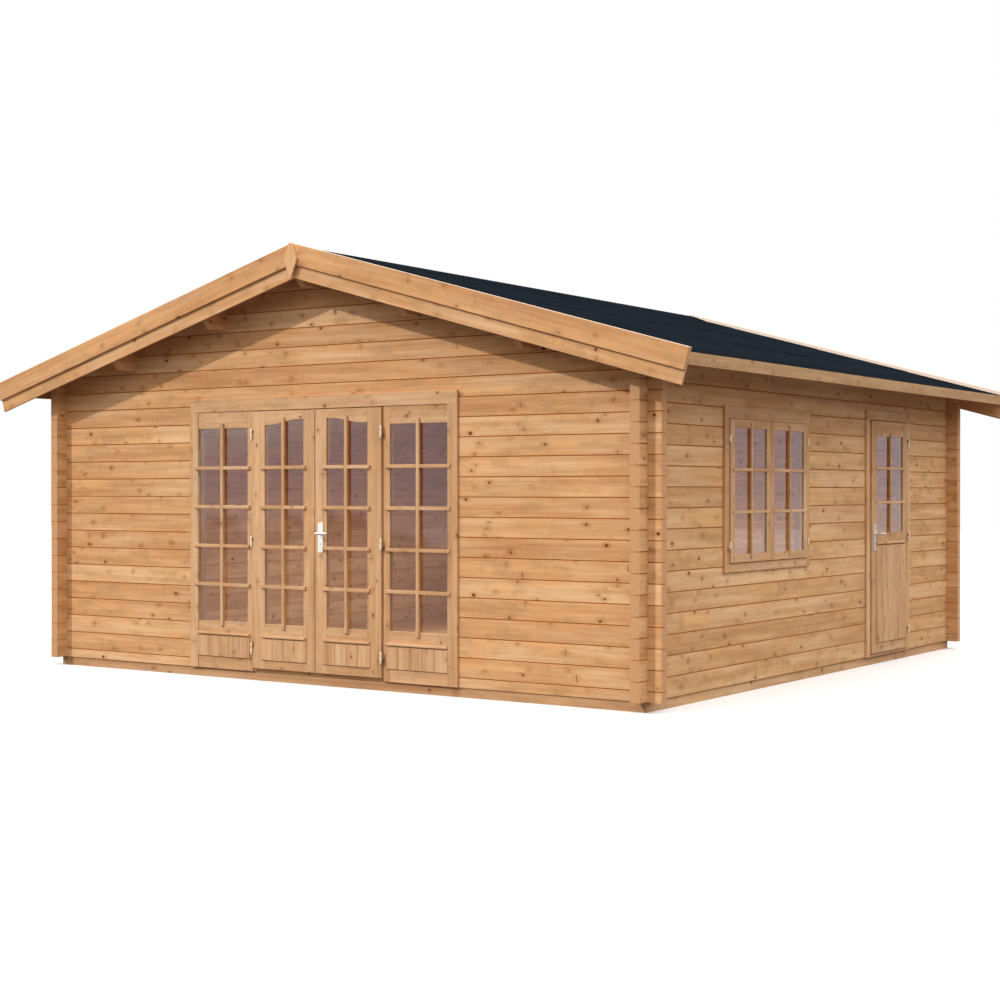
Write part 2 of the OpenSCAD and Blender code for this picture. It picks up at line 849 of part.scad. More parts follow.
// Lever that points to +x, its neck clear of the plate by lever_gap
module lever()
    translate([0, -plate_t - lever_gap, lever_up])
        union() {
            rotate([90, 0, 0]) cylinder(r = lever_r, h = lever_out);
            translate([0, -lever_out, 0]) sphere(r = lever_r);
            translate([0, -lever_out, 0]) rotate([0, 90, 0]) cylinder(r = lever_r, h = lever_len);
            translate([lever_len, -lever_out, 0]) sphere(r = lever_r);
        }

module at_front_lock()
    translate([front_lock_x, -half_d - leaf_proud, base_h + handle_z]) children();

module at_side_lock()
    translate([half_w + leaf_proud, side_lock_y, base_h + side_handle_z])
        rotate([0, 0, 90]) children();

module front_handle_plate()
    color(metal_colour) at_front_lock() handle_plate();

module front_lever()
    color(metal_colour) at_front_lock() lever();

module side_handle_plate()
    color(metal_colour) at_side_lock() handle_plate();

module side_lever()
    color(metal_colour) at_side_lock() lever();

base_beams_long();
base_beams_side();
floor_boards();
floor_bearers();
front_wall_left();
front_wall_right();
front_gable();
back_wall();
left_wall();
right_wall_front();
right_wall_under_window();
right_wall_middle();
right_wall_back();
right_wall_top();
ridge_purlin();
purlins_left();
purlins_right();
roof_deck_left();
roof_deck_right();
roof_felt_left();
roof_felt_right();
barge_boards_left();
barge_boards_right();
barge_covers_left();
barge_covers_right();
apex_blocks();
eave_fascia_left();
eave_fascia_right();
front_door_frame();
front_sill();
side_panel_left();
side_panel_right();
side_panel_glass();
front_door_left();
front_door_right();
front_glass_left();
front_glass_right();
front_handle_plate();
front_lever();
front_hinge_pins();
front_barrels_left();
front_barrels_right();
window_frame();
window_sashes();
window_glass();
side_door_frame();
side_door();
side_door_glass();
side_handle_plate();
side_lever();
side_hinge_pins();
side_barrels();
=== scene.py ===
"""Looks of a timber log cabin: grain, joinery, glazing bars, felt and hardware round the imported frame.

Metres, +Z up, front towards -Y. Joinery is drawn in the frame of its own wall: x to the right along
the wall, y into it and z up.
"""

import math
import random

import bpy
from mathutils import Matrix, Vector


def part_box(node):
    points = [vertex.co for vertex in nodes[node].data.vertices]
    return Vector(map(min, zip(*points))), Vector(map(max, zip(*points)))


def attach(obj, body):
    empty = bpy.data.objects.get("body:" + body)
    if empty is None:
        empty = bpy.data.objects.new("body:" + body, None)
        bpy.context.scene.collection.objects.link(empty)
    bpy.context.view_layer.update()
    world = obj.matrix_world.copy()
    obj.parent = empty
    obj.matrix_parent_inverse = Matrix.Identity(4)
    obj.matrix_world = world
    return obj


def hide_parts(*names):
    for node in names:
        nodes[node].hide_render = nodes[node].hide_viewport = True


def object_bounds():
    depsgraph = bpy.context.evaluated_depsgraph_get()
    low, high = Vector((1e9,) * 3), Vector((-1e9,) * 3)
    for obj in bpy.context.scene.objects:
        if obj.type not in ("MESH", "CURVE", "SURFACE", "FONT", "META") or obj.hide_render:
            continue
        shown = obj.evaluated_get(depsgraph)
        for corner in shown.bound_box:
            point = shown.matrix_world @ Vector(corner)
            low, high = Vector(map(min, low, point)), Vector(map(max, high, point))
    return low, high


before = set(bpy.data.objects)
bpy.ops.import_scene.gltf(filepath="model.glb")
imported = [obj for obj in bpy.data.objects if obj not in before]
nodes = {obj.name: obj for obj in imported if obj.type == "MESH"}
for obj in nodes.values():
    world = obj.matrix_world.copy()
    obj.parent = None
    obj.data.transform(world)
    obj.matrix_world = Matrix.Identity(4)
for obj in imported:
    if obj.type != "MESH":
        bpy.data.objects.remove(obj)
cad_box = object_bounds()
random.seed(11)

# ---- sizes ----

MM = 0.001
LOG_ROW = 135 * MM
PITCH = math.radians(15.6)
RISE = 1 / math.cos(PITCH)  # turns a sloping sheet's thickness into its upright one
FALL = math.tan(PITCH)      # drop of the roof over a metre outwards
EDGE = 1.5 * MM             # chamfer on a planed board
BEAM_EDGE = 2 * MM          # chamfer on a roof timber
FINE_EDGE = 0.5 * MM
METAL_EDGE = 0.8 * MM
DECK_T = 20 * MM
DECK_BOARD_W = 100 * MM
FELT_T = 5 * MM             # from the deck up to the top of the felt
STRIP_T = 3 * MM            # one strip of felt
STRIP_W = 1000 * MM
STRIP_LAP = 80 * MM
RIDGE_STRIP_W = 160 * MM    # on each side of the ridge
RIDGE_CREST = 14 * MM       # height of the ridge strip over the felt
RIDGE_ROUND_W = 25 * MM     # half width and drop of its rounded top
RIDGE_ROUND_H = 6 * MM
HIGHLIGHT_RIM = 36 * MM        # depth of the painted highlight on the rim at the back of a barge board
FLOOR_BOARD_W = 120 * MM
BARREL_R = 7 * MM           # radius of a hinge barrel
GLASS_EDGE = 8 * MM         # depth of a pane in its groove

FRONT = Matrix.Identity(4)
RIGHT = Matrix.Rotation(math.radians(90), 4, "Z")

WALL_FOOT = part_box("front_wall_left")[0].z
WALL_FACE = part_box("right_wall_front")[1].x
LOG_T = WALL_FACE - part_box("right_wall_front")[0].x


def local_box(node, turn=FRONT, side=0, middle=0.0):
    """Box of a CAD node in a wall's own frame; side keeps only what lies left (-1) or right (1) of middle."""
    back = turn.inverted()
    points = [back @ v.co for v in nodes[node].data.vertices]
    points = [p for p in points if side == 0 or (p.x - middle) * side > 0]
    return (Vector(min(p[i] for p in points) for i in range(3)),
            Vector(max(p[i] for p in points) for i in range(3)))


def pane_opening(node, turn, side=0, middle=0.0):
    """The opening in front of a pane: its box without the groove round it."""
    low, high = local_box(node, turn, side, middle)
    groove = Vector((GLASS_EDGE, 0, GLASS_EDGE))
    return low + groove, high - groove


# ---- shader graphs ----

class Graph:
    """Short calls for the nodes of one tree."""

    def __init__(self, tree):
        self.tree = tree

    def feed(self, value, socket):
        if isinstance(value, bpy.types.NodeSocket):
            self.tree.links.new(value, socket)
        else:
            socket.default_value = value

    def add(self, kind, values=(), **settings):
        node = self.tree.nodes.new("ShaderNode" + kind)
        for name, value in settings.items():
            setattr(node, name, value)
        for socket, value in dict(values).items():
            self.feed(value, node.inputs[socket])
        return node

    def math(self, operation, *values):
        return self.add("Math", enumerate(values), operation=operation).outputs[0]

    def plus(self, a, b):
        return self.math("ADD", a, b)

    def minus(self, a, b):
        return self.math("SUBTRACT", a, b)

    def times(self, a, b):
        return self.math("MULTIPLY", a, b)

    def scaled(self, value, factor, start):
        """value times factor, on top of start."""
        return self.math("MULTIPLY_ADD", value, factor, start)

    def vector(self, operation, *values):
        node = self.add("VectorMath", enumerate(values), operation=operation)
        return node.outputs["Value" if operation in ("LENGTH", "DOT_PRODUCT") else "Vector"]

    def join(self, x=0.0, y=0.0, z=0.0):
        return self.add("CombineXYZ", {"X": x, "Y": y, "Z": z}).outputs[0]

    def split(self, vector):
        return self.add("SeparateXYZ", {"Vector": vector}).outputs

    def noise(self, place, stretch, detail=2.0, roughness=0.5):
        """Noise over a place, stretched by a factor along x, y and z."""
        values = {"Vector": self.vector("MULTIPLY", place, stretch), "Scale": 1.0, "Detail": detail,
                  "Roughness": roughness}
        return self.add("TexNoise", values).outputs["Fac"]

    def dice(self, value):
        """A random number from 0 to 1 for each value."""
        return self.add("TexWhiteNoise", {"W": value}, noise_dimensions="1D").outputs["Value"]

    def ramp(self, value, start, end):
        """0 at start and 1 at end, smoothly; start may be the higher one."""
        node = self.add("MapRange", {"Value": value, "From Min": start, "From Max": end},
                        interpolation_type="SMOOTHSTEP")
        return node.outputs["Result"]

    def mix(self, share, low, high):
        node = self.add("Mix", {0: share, 6: low, 7: high}, data_type="RGBA")
        return node.outputs[2]

    def clamp(self, value):
        return self.math("MAXIMUM", self.math("MINIMUM", value, 1.0), 0.0)

    def emboss(self, surface, height, strength, depth):
        """Fine relief on a surface."""
        bump = self.add("Bump", {"Height": height, "Strength": strength, "Distance": depth})
        self.feed(bump.outputs[0], surface.inputs["Normal"])

    def total(self, *terms):
        """Sum of value and weight pairs, each value taken about one half."""
        result = 0.5
        for value, weight in terms:
            result = self.scaled(self.minus(value, 0.5), weight, result)
        return result


def group(name, inputs, outputs):
    """An empty shader group with its sockets; returns its graph, its inputs and its outputs."""
    tree = bpy.data.node_groups.new(name, "ShaderNodeTree")
    for socket, kind in inputs.items():
        tree.interface.new_socket(socket, in_out="INPUT", socket_type="NodeSocket" + kind)
    for socket, kind in outputs.items():
        tree.interface.new_socket(socket, in_out="OUTPUT", socket_type="NodeSocket" + kind)
    graph = Graph(tree)
    enter = tree.nodes.new("NodeGroupInput").outputs
    leave = tree.nodes.new("NodeGroupOutput").inputs
    return graph, enter, leave


def put(name, data):
    """A new object in the scene."""
    thing = bpy.data.objects.new(name, data)
    bpy.context.scene.collection.objects.link(thing)
    return thing


def place_group(graph, name, values):
    """A shader group in a material's graph; returns its outputs."""
    node = graph.tree.nodes.new("ShaderNodeGroup")
    node.node_tree = bpy.data.node_groups[name]
    for socket, value in values.items():
        graph.feed(value, node.inputs[socket])
    return node.outputs


def make_softwood_grain():
    """Grain of planed spruce. Place is along, across and through the board; Seed tells boards apart."""
    knot_run, knot_row = 0.30, 0.080
    g, enter, leave = group(
        "softwood_grain",
        {"Place": "Vector", "Seed": "Float", "Pale": "Color", "Warm": "Color", "Deep": "Color",
         "Dull": "Color", "Knot": "Color", "Tone": "Float", "Figure": "Float", "Knots": "Float",
         "Spread": "Float"},
        {"Color": "Color", "Roughness": "Float", "Height": "Float"})
    chance = g.dice(enter["Seed"])
    shift = g.join(g.times(chance, 71.0), g.times(chance, 37.0), g.times(chance, 13.0))
    place = g.vector("ADD", enter["Place"], shift)

    # Knots lie at the points of a stretched Voronoi pattern, and about half of them are left out
    cell = (knot_run, knot_row, 1.0)
    cells = g.vector("MULTIPLY", g.vector("DIVIDE", place, cell), (1, 1, 0))
    point = g.add("TexVoronoi", {"Vector": cells, "Scale": 1.0}, voronoi_dimensions="2D")
    point = point.outputs["Position"]
    fate = g.add("TexWhiteNoise", {"Vector": point}, noise_dimensions="3D").outputs["Value"]
    wobble = g.noise(place, (70.0, 70.0, 70.0), 2.0, 0.6)
    away = g.split(g.vector("SUBTRACT", place, g.vector("MULTIPLY", point, cell)))
    # Some were cut lengthwise and show as a spike across the board
    spike = g.times(g.ramp(fate, 0.60, 0.61), g.ramp(fate, 0.70, 0.69))
    radius = g.scaled(g.math("POWER", fate, 5.0), 0.0090, 0.0024)
    reach = g.vector("LENGTH", g.join(g.times(away[0], g.scaled(spike, 0.5, 0.8)),
                                      g.times(away[1], g.scaled(spike, -0.85, 1.0))))
    reach = g.scaled(g.minus(wobble, 0.5), 0.009, reach)
    knot = g.minus(1.0, g.ramp(g.minus(reach, radius), -0.0015, 0.0022))
    there = g.times(g.ramp(fate, 0.40, 0.55), enter["Knots"])
    depth = g.scaled(g.math("POWER", fate, 2.0), 0.52, 0.44)
    knot = g.times(g.times(knot, there), depth)
    spread = g.vector("LENGTH", g.join(g.times(away[0], 30.0), g.times(away[1], 48.0)))
    spread = g.scaled(wobble, 2.2, g.minus(spread, 1.1))
    halo = g.times(g.ramp(spread, 1.7, 0.2), there)

    # The grain parts round a knot
    parts = g.split(place)
    across = g.minus(parts[1], g.times(g.times(away[1], 0.6), halo))
    grain = g.join(parts[0], across, parts[2])
    bands = g.noise(grain, (0.8, 17.0, 17.0), 4.0, 0.65)
    lines = g.noise(grain, (2.0, 72.0, 72.0), 3.0, 0.65)
    fibres = g.noise(grain, (12.0, 480.0, 480.0), 2.0, 0.6)
    patches = g.noise(place, (1.3, 7.0, 7.0), 3.0, 0.6)
    hues = g.noise(place, (1.7, 9.0, 9.0), 2.0, 0.5)
    # Resin flecks and dull stains run across the grain
    flecks = g.noise(place, (26.0, 7.0, 7.0), 3.0, 0.7)
    flecks = g.times(g.ramp(flecks, 0.5, 0.68), g.ramp(patches, 0.42, 0.6))
    stains = g.noise(place, (5.0, 10.0, 10.0), 3.0, 0.6)
    stains = g.times(g.ramp(stains, 0.46, 0.66), g.ramp(hues, 0.38, 0.60))

    figure = g.total((bands, 2.5), (lines, 1.0), (fibres, 0.4), (patches, 1.2))
    tone = g.scaled(g.minus(figure, 0.5), enter["Figure"], enter["Tone"])
    tone = g.scaled(g.minus(chance, 0.5), enter["Spread"], tone)
    tone = g.scaled(halo, 0.32, tone)
    tone = g.scaled(flecks, 0.13, tone)
    warmth = g.ramp(g.scaled(chance, 0.12, hues), 0.44, 0.68)
    light = g.mix(warmth, enter["Pale"], enter["Warm"])
    colour = g.mix(g.clamp(tone), light, enter["Deep"])
    colour = g.mix(g.times(stains, 0.5), colour, enter["Dull"])
    colour = g.mix(knot, colour, enter["Knot"])
    g.feed(colour, leave["Color"])
    g.feed(g.total((lines, 0.25), (fibres, 0.2), (knot, -0.12)), leave["Roughness"])
    g.feed(g.minus(g.total((lines, 0.8), (fibres, 0.7)), g.times(knot, 0.3)), leave["Height"])


def make_end_grain():
    """Growth rings on a board's end. Across and Through are measured from the board's corner."""
    g, enter, leave = group(
        "end_grain",
        {"Across": "Float", "Through": "Float", "Seed": "Float", "Pale": "Color", "Deep": "Color"},
        {"Color": "Color"})
    chance = g.dice(enter["Seed"])
    x = g.minus(enter["Across"], g.scaled(chance, 0.10, 0.02))
    y = g.plus(enter["Through"], g.times(chance, 0.05))
    spot = g.join(x, y)
    wobble = g.noise(spot, (25.0, 25.0, 1.0), 2.0)
    radius = g.scaled(wobble, 0.006, g.vector("LENGTH", spot))
    ring_width = 4.2 * MM
    ring = g.math("FRACT", g.math("DIVIDE", radius, ring_width))
    ring = g.times(g.ramp(ring, 0.35, 0.95), g.ramp(ring, 1.0, 0.95))
    blotch = g.noise(spot, (40.0, 40.0, 1.0), 2.0)
    tone = g.scaled(ring, 0.45, g.scaled(blotch, 0.7, -0.05))
    g.feed(g.mix(tone, enter["Pale"], enter["Deep"]), leave["Color"])


def make_log_rows():
    """Splits a wall into its logs. Joint is 1 in the V between two logs, and the light mask fades out beside
    it: painted warm light on the logs' edges.
    """
    g, enter, leave = group(
        "log_rows",
        {"Along": "Float", "Up": "Float", "Through": "Float", "First": "Float", "Wall": "Float"},
        {"Place": "Vector", "Seed": "Float", "Joint": "Float", "PaintedLight": "Float"})
    height = g.minus(enter["Up"], enter["First"])
    row = g.math("FLOOR", g.math("DIVIDE", height, LOG_ROW))
    across = g.scaled(row, -LOG_ROW, height)
    edge = g.math("MINIMUM", across, g.minus(LOG_ROW, across))
    g.feed(g.join(enter["Along"], across, enter["Through"]), leave["Place"])
    g.feed(g.scaled(enter["Wall"], 41.0, row), leave["Seed"])
    g.feed(g.ramp(edge, 4.6 * MM, 0.8 * MM), leave["Joint"])
    g.feed(g.ramp(edge, 13 * MM, 2 * MM), leave["PaintedLight"])


make_softwood_grain()
make_end_grain()
make_log_rows()


# ---- materials ----

def linear(r, g, b):
    """A colour given as it looks on a screen, as a linear RGBA."""
    def channel(v):
        v /= 255
        return v / 12.92 if v <= 0.04045 else ((v + 0.055) / 1.055) ** 2.4
    return (channel(r), channel(g), channel(b), 1.0)


JOINT_BROWN = linear(136, 66, 18)
# Painted warm light on the logs' edges beside each joint
PAINTED_JOINT_LIGHT = linear(216, 142, 66)
SPRUCE = {"Pale": linear(231, 185, 138), "Warm": linear(231, 175, 119), "Deep": linear(182, 124, 76),
          "Dull": linear(176, 138, 96), "Knot": linear(116, 56, 16)}
SEASONED = {**SPRUCE, "Pale": linear(229, 188, 146), "Warm": linear(230, 180, 130),
            "Deep": linear(182, 132, 90)}
# A darker copy of the spruce palette: painted shade for the eave fascias under the roof's edge
SHADED_SPRUCE = {**SPRUCE, "Pale": linear(194, 156, 112), "Warm": linear(196, 152, 104),
             "Deep": linear(150, 110, 72), "Dull": linear(150, 122, 88)}
SPRUCE_END = {"Pale": linear(214, 166, 120), "Deep": linear(182, 128, 84)}
# Painted highlight on the top edges of the barge boards
TOP_HIGHLIGHT = linear(240, 216, 196)
# Painted shade on the hinge arms beside the barrels
ARM_SHADE = linear(150, 108, 66)
WHITE = (1.0, 1.0, 1.0, 1.0)
FACES_END = 0.7             # a face looks along the grain where its normal passes this


def new_material(name):
    """An empty Principled material; returns it, its graph, its surface and its output."""
    material = bpy.data.materials.new(name)
    material.use_nodes = True
    material.node_tree.nodes.clear()
    graph = Graph(material.node_tree)
    surface = graph.add("BsdfPrincipled")
    output = graph.add("OutputMaterial", {"Surface": surface.outputs[0]})
    return material, graph, surface, output


def finish_wood(graph, surface, place, seed, end, joint=None, glow=None, tone=0.37, figure=0.62, knots=1.0,
                spread=0.36, palette=SPRUCE):
    """Wood on a Principled surface: grain on its sides, rings on its ends, and dark joints."""
    grain = place_group(graph, "softwood_grain", {
        "Place": place, "Seed": seed, "Tone": tone, "Figure": figure, "Knots": knots,
        "Spread": spread, **palette})
    parts = graph.split(place)
    rings = place_group(graph, "end_grain", {
        "Across": parts[1], "Through": parts[2], "Seed": seed, **SPRUCE_END})
    colour = graph.mix(end, grain["Color"], rings["Color"])
    if joint is not None:
        # Painted light: a warm band on the logs' edges beside each joint
        colour = graph.mix(graph.times(glow, 0.4), colour, PAINTED_JOINT_LIGHT)
        colour = graph.mix(graph.times(joint, 0.82), colour, JOINT_BROWN)
    graph.feed(colour, surface.inputs["Base Color"])
    graph.feed(graph.scaled(grain["Roughness"], 0.3, 0.47), surface.inputs["Roughness"])
    graph.emboss(surface, grain["Height"], 0.35, 1.2 * MM)
    surface.inputs["Specular IOR Level"].default_value = 0.3


def log_wood(name, axis, first, **looks):
    """Wood of a wall whose logs run along axis (0 for x, 1 for y); first is the height of a row joint."""
    material, g, surface, _ = new_material(name)
    coordinates = g.add("TexCoord").outputs
    place = g.split(coordinates["Object"])
    normal = g.split(coordinates["Normal"])
    depth = g.minus(g.math("ABSOLUTE", place[1 - axis]), WALL_FACE - LOG_T)
    wall = g.math("GREATER_THAN", place[1 - axis], 0.0)
    rows = place_group(g, "log_rows", {
        "Along": place[axis], "Up": place[2], "Through": depth, "First": first, "Wall": wall})
    end = g.math("GREATER_THAN", g.math("ABSOLUTE", normal[axis]), FACES_END)
    # Joints are fainter on the room's side of the logs
    outside = g.scaled(g.ramp(depth, 0.3 * LOG_T, 0.7 * LOG_T), 0.6, 0.4)
    finish_wood(g, surface, rows["Place"], rows["Seed"], end, g.times(rows["Joint"], outside),
                rows["PaintedLight"], **looks)
    return material


def sawn_wood(name, axis, tilt=0.0, start=0, highlit_top=False, **looks):
    """Wood of CAD boards that run along axis (0, 1 or 2), turned by tilt about Y. start tells sets
    apart, and the top flag paints a highlight: pale colour on the upper edge and the rim behind it."""
    material, g, surface, _ = new_material(name)
    coordinates = g.add("TexCoord").outputs
    turned, faced = coordinates["Object"], coordinates["Normal"]
    if tilt:
        turned, faced = [g.add("VectorRotate", {"Vector": v, "Axis": (0, 1, 0), "Angle": -tilt})
                         .outputs[0] for v in (turned, faced)]
    place = g.split(turned)
    normal = g.split(faced)
    # Along, across and through the boards
    order = {0: (0, 2, 1), 1: (1, 2, 0), 2: (2, 0, 1)}[axis]
    # Boards more than a metre apart differ; the odd shift keeps the steps away from their faces
    seed = g.plus(g.math("FLOOR", g.plus(place[order[2]], 5.03)), start)
    end = g.math("GREATER_THAN", g.math("ABSOLUTE", normal[axis]), FACES_END)
    finish_wood(g, surface, g.join(*[place[i] for i in order]), seed, end, **looks)
    if highlit_top:
        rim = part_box("barge_boards_right")[1].z * math.cos(PITCH) - HIGHLIGHT_RIM
        # Faces that look back at the middle of the roof
        inner = g.math("LESS_THAN", g.times(normal[1], place[1]), -1.5)
        # Painted highlight: faces that look up, and the rim at the top of the inner faces, turn pale as if
        # lit
        highlight = g.math("MAXIMUM", g.ramp(normal[2], 0.6, 0.9),
                        g.times(inner, g.math("GREATER_THAN", place[2], rim)))
        wood = surface.inputs["Base Color"].links[0].from_socket
        g.feed(g.mix(highlight, wood, TOP_HIGHLIGHT), surface.inputs["Base Color"])
    return material


def board_wood(name, **looks):
    """Wood of boards made by Bench, which carry their own grain coordinates."""
    material, g, surface, _ = new_material(name)
    place = g.add("Attribute", attribute_name="place").outputs["Vector"]
    seed = g.add("Attribute", attribute_name="seed").outputs["Fac"]
    end = g.add("Attribute", attribute_name="end").outputs["Fac"]
    finish_wood(g, surface, place, seed, end, **looks)
    return material


def roofing_felt():
    """Dark mineral felt: fine grit, and faint streaks along the strips."""
    material, g, surface, _ = new_material("roofing_felt")
    place = g.add("TexCoord").outputs["Object"]
    grit = g.noise(place, (420.0, 420.0, 420.0), 2.0, 0.7)
    streaks = g.noise(place, (9.0, 0.7, 9.0), 4.0, 0.6)
    patches = g.noise(place, (1.4, 1.4, 1.4), 3.0)
    tone = g.clamp(g.total((grit, 0.9), (streaks, 1.2), (patches, 0.5)))
    g.feed(g.mix(tone, linear(17, 22, 27), linear(32, 38, 44)), surface.inputs["Base Color"])
    g.feed(g.scaled(grit, 0.2, 0.75), surface.inputs["Roughness"])
    g.emboss(surface, g.total((grit, 1.0), (streaks, 1.5)), 0.4, 1.5 * MM)
    surface.inputs["Specular IOR Level"].default_value = 0.0
    return material


def window_glass():
    """Clear float glass that lets the lamps' light into the room."""
    material, g, surface, output = new_material("window_glass")
    place = g.add("TexCoord").outputs["Object"]
    ripple = g.noise(place, (2.5, 2.5, 1.5), 1.0)
    g.emboss(surface, ripple, 0.06, 2 * MM)
    smear = g.noise(place, (4.0, 4.0, 3.0), 3.0)
    g.feed(g.times(smear, 0.02), surface.inputs["Roughness"])
    for socket, value in {"Base Color": (0.93, 0.96, 0.95, 1.0), "IOR": 1.5,
                          "Transmission Weight": 1.0}.items():
        surface.inputs[socket].default_value = value
    shadow = g.add("LightPath").outputs["Is Shadow Ray"]
    clear = g.add("BsdfTransparent", {"Color": (0.86, 0.88, 0.87, 1.0)}).outputs[0]
    shown = g.add("MixShader", {0: shadow, 1: surface.outputs[0], 2: clear}).outputs[0]
    g.feed(shown, output.inputs["Surface"])
    return material


def brushed_metal(name, colour, roughness, metallic=1.0):
    """Satin metal with fine scratches and a few duller spots."""
    material, g, surface, _ = new_material(name)
    place = g.add("TexCoord").outputs["Object"]
    scratch = g.noise(place, (900.0, 900.0, 60.0), 2.0, 0.7)
    spots = g.noise(place, (60.0, 60.0, 60.0), 2.0)
    pale = g.mix(spots, colour, tuple(0.85 * c for c in colour[:3]) + (1.0,))
    g.feed(pale, surface.inputs["Base Color"])
    g.feed(g.scaled(g.total((scratch, 0.5), (spots, 0.5)), 0.3, roughness - 0.15),
           surface.inputs["Roughness"])
    g.emboss(surface, scratch, 0.1, 0.2 * MM)
    surface.inputs["Metallic"].default_value = metallic
    return material


def hinge_metal():
    """Pale nickel on the barrels of the hinges, and painted shade, a dark brown, on the arms beside those of
    the doors.
    """
    material = brushed_metal("satin_nickel", (1.0, 0.88, 0.66, 1.0), 0.5, 0.25)
    g = Graph(material.node_tree)
    surface = next(n for n in material.node_tree.nodes if n.type == "BSDF_PRINCIPLED")
    place = g.split(g.add("TexCoord").outputs["Object"])
    corner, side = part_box("front_barrels_right"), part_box("side_barrels")
    front = g.join(g.minus(g.math("ABSOLUTE", place[0]), corner[1].x - BARREL_R),
                   g.minus(place[1], corner[0].y + BARREL_R))
    right = g.join(g.minus(place[0], side[1].x - BARREL_R), g.minus(place[1], side[1].y - BARREL_R))
    away = g.math("MINIMUM", g.vector("LENGTH", front), g.vector("LENGTH", right))
    # Painted shade: the arms beside the barrels take a dark brown
    arm = g.times(g.ramp(away, BARREL_R + 0.2 * MM, BARREL_R + 0.8 * MM),
                  g.ramp(away, 200 * MM, 100 * MM))
    pale = surface.inputs["Base Color"].links[0].from_socket
    g.feed(g.mix(arm, pale, ARM_SHADE), surface.inputs["Base Color"])
    return material


def keyhole_shade():
    """Painted shade: a dark shape for the inside of a keyhole."""
    material, g, surface, _ = new_material("keyhole_shade")
    place = g.add("TexCoord").outputs["Object"]
    speck = g.noise(place, (300.0, 300.0, 300.0), 2.0)
    g.feed(g.mix(speck, linear(24, 22, 20), linear(48, 44, 40)), surface.inputs["Base Color"])
    surface.inputs["Roughness"].default_value = 0.7
    return material


LOGS_X = log_wood("log_wood_x", 0, WALL_FOOT + LOG_ROW / 2, figure=0.68, knots=1.1)
LOGS_Y = log_wood("log_wood_y", 1, WALL_FOOT, palette={
    **SPRUCE, "Pale": linear(231, 187, 140), "Warm": linear(230, 178, 121), "Deep": linear(182, 126, 76)})
JOINERY = board_wood("joinery_wood", tone=0.54, knots=0.8, spread=0.26, palette=SEASONED)
PLANKS = board_wood("plank_wood", spread=0.4)
FELT = roofing_felt()
GLASS = window_glass()
SILVER = brushed_metal("satin_silver", (0.95, 0.93, 0.88, 1.0), 0.5)
NICKEL = hinge_metal()
HOLE_SHADE = keyhole_shade()


# ---- boards ----

def inset(outline, distance):
    """The outline moved inwards by distance; it runs anticlockwise seen from the front."""
    moved = []
    for i, (x, z) in enumerate(outline):
        before, after = outline[i - 1], outline[(i + 1) % len(outline)]
        a = Vector((x - before[0], z - before[1])).normalized()
        b = Vector((after[0] - x, after[1] - z)).normalized()
        inward = Vector((-a.y - b.y, a.x + b.x))
        inward *= 2 * distance / max(inward.length_squared, 1e-9)
        moved.append((x + inward.x, z + inward.y))
    return moved


def rectangle(x0, x1, z0, z1):
    return [(x0, z0), (x1, z0), (x1, z1), (x0, z1)]


class Bench:
    """Collects boards in one mesh, in a wall's own frame."""

    END_SLANT = 0.4         # a side this near to square across the grain shows its end

    def __init__(self, name, turn=FRONT):
        self.name = name
        self.turn = turn
        self.points = []
        self.faces = []
        self.place = []
        self.end = []
        self.seed = []

    def board(self, outline, y0, y1, grain=(1.0, 0.0), wide="z", edge=EDGE):
        """A board from y0 to y1 with an outline in x and z. Its grain runs along (x, z), and its
        width lies in the outline (z) or along y."""
        count = len(outline)
        first = len(self.points)
        inner = inset(outline, edge)
        rings = [(inner, y0), (outline, y0 + edge), (outline, y1 - edge), (inner, y1)]
        along = Vector(grain).normalized()
        across = Vector((-along.y, along.x))
        corner = Vector(outline[0])
        seed = random.random() * 900
        for ring, y in rings:
            for x, z in ring:
                offset = Vector((x, z)) - corner
                flat = (offset.dot(across), y - y0)
                self.points.append((x, y, z))
                self.place.append((offset.dot(along), *(flat if wide == "z" else flat[::-1])))
        self.faces.append([first + i for i in range(count)])
        self.faces.append([first + 3 * count + i for i in reversed(range(count))])
        self.end += [0.0, 0.0]
        for level in range(3):
            low = first + level * count
            for i in range(count):
                j = (i + 1) % count
                self.faces.append([low + i, low + count + i, low + count + j, low + j])
                side = Vector((outline[j][0] - outline[i][0], outline[j][1] - outline[i][1]))
                self.end.append(1.0 if abs(side.normalized().dot(along)) < self.END_SLANT else 0.0)
        self.seed += [seed] * (2 + 3 * count)

    def beam(self, x0, x1, z0, z1, y0, y1, **style):
        """A board with a rectangular outline, its grain along its longer side."""
        upright = z1 - z0 > x1 - x0
        style.setdefault("grain", (0.0, 1.0) if upright else (1.0, 0.0))
        self.board(rectangle(x0, x1, z0, z1), y0, y1, **style)

    def done(self, material, body, slot, *replaced):
        mesh = bpy.data.meshes.new(self.name)
        mesh.from_pydata([self.turn @ Vector(p) for p in self.points], [], self.faces)
        place = mesh.attributes.new("place", "FLOAT_VECTOR", "POINT")
        place.data.foreach_set("vector", [c for p in self.place for c in p])
        for label, values in (("end", self.end), ("seed", self.seed)):
            mesh.attributes.new(label, "FLOAT", "FACE").data.foreach_set("value", values)
        return ride_piece(self.name, mesh, material, body, slot, *replaced)


def ride_piece(name, mesh, material, body, slot, *replaced):
    """Adds a finished mesh to the scene, on its CAD body and in place of the CAD nodes named."""
    mesh.validate()
    mesh.materials.append(material)
    piece = put(name, mesh)
    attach(piece, body)
    if replaced:
        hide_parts(*replaced)
    return piece


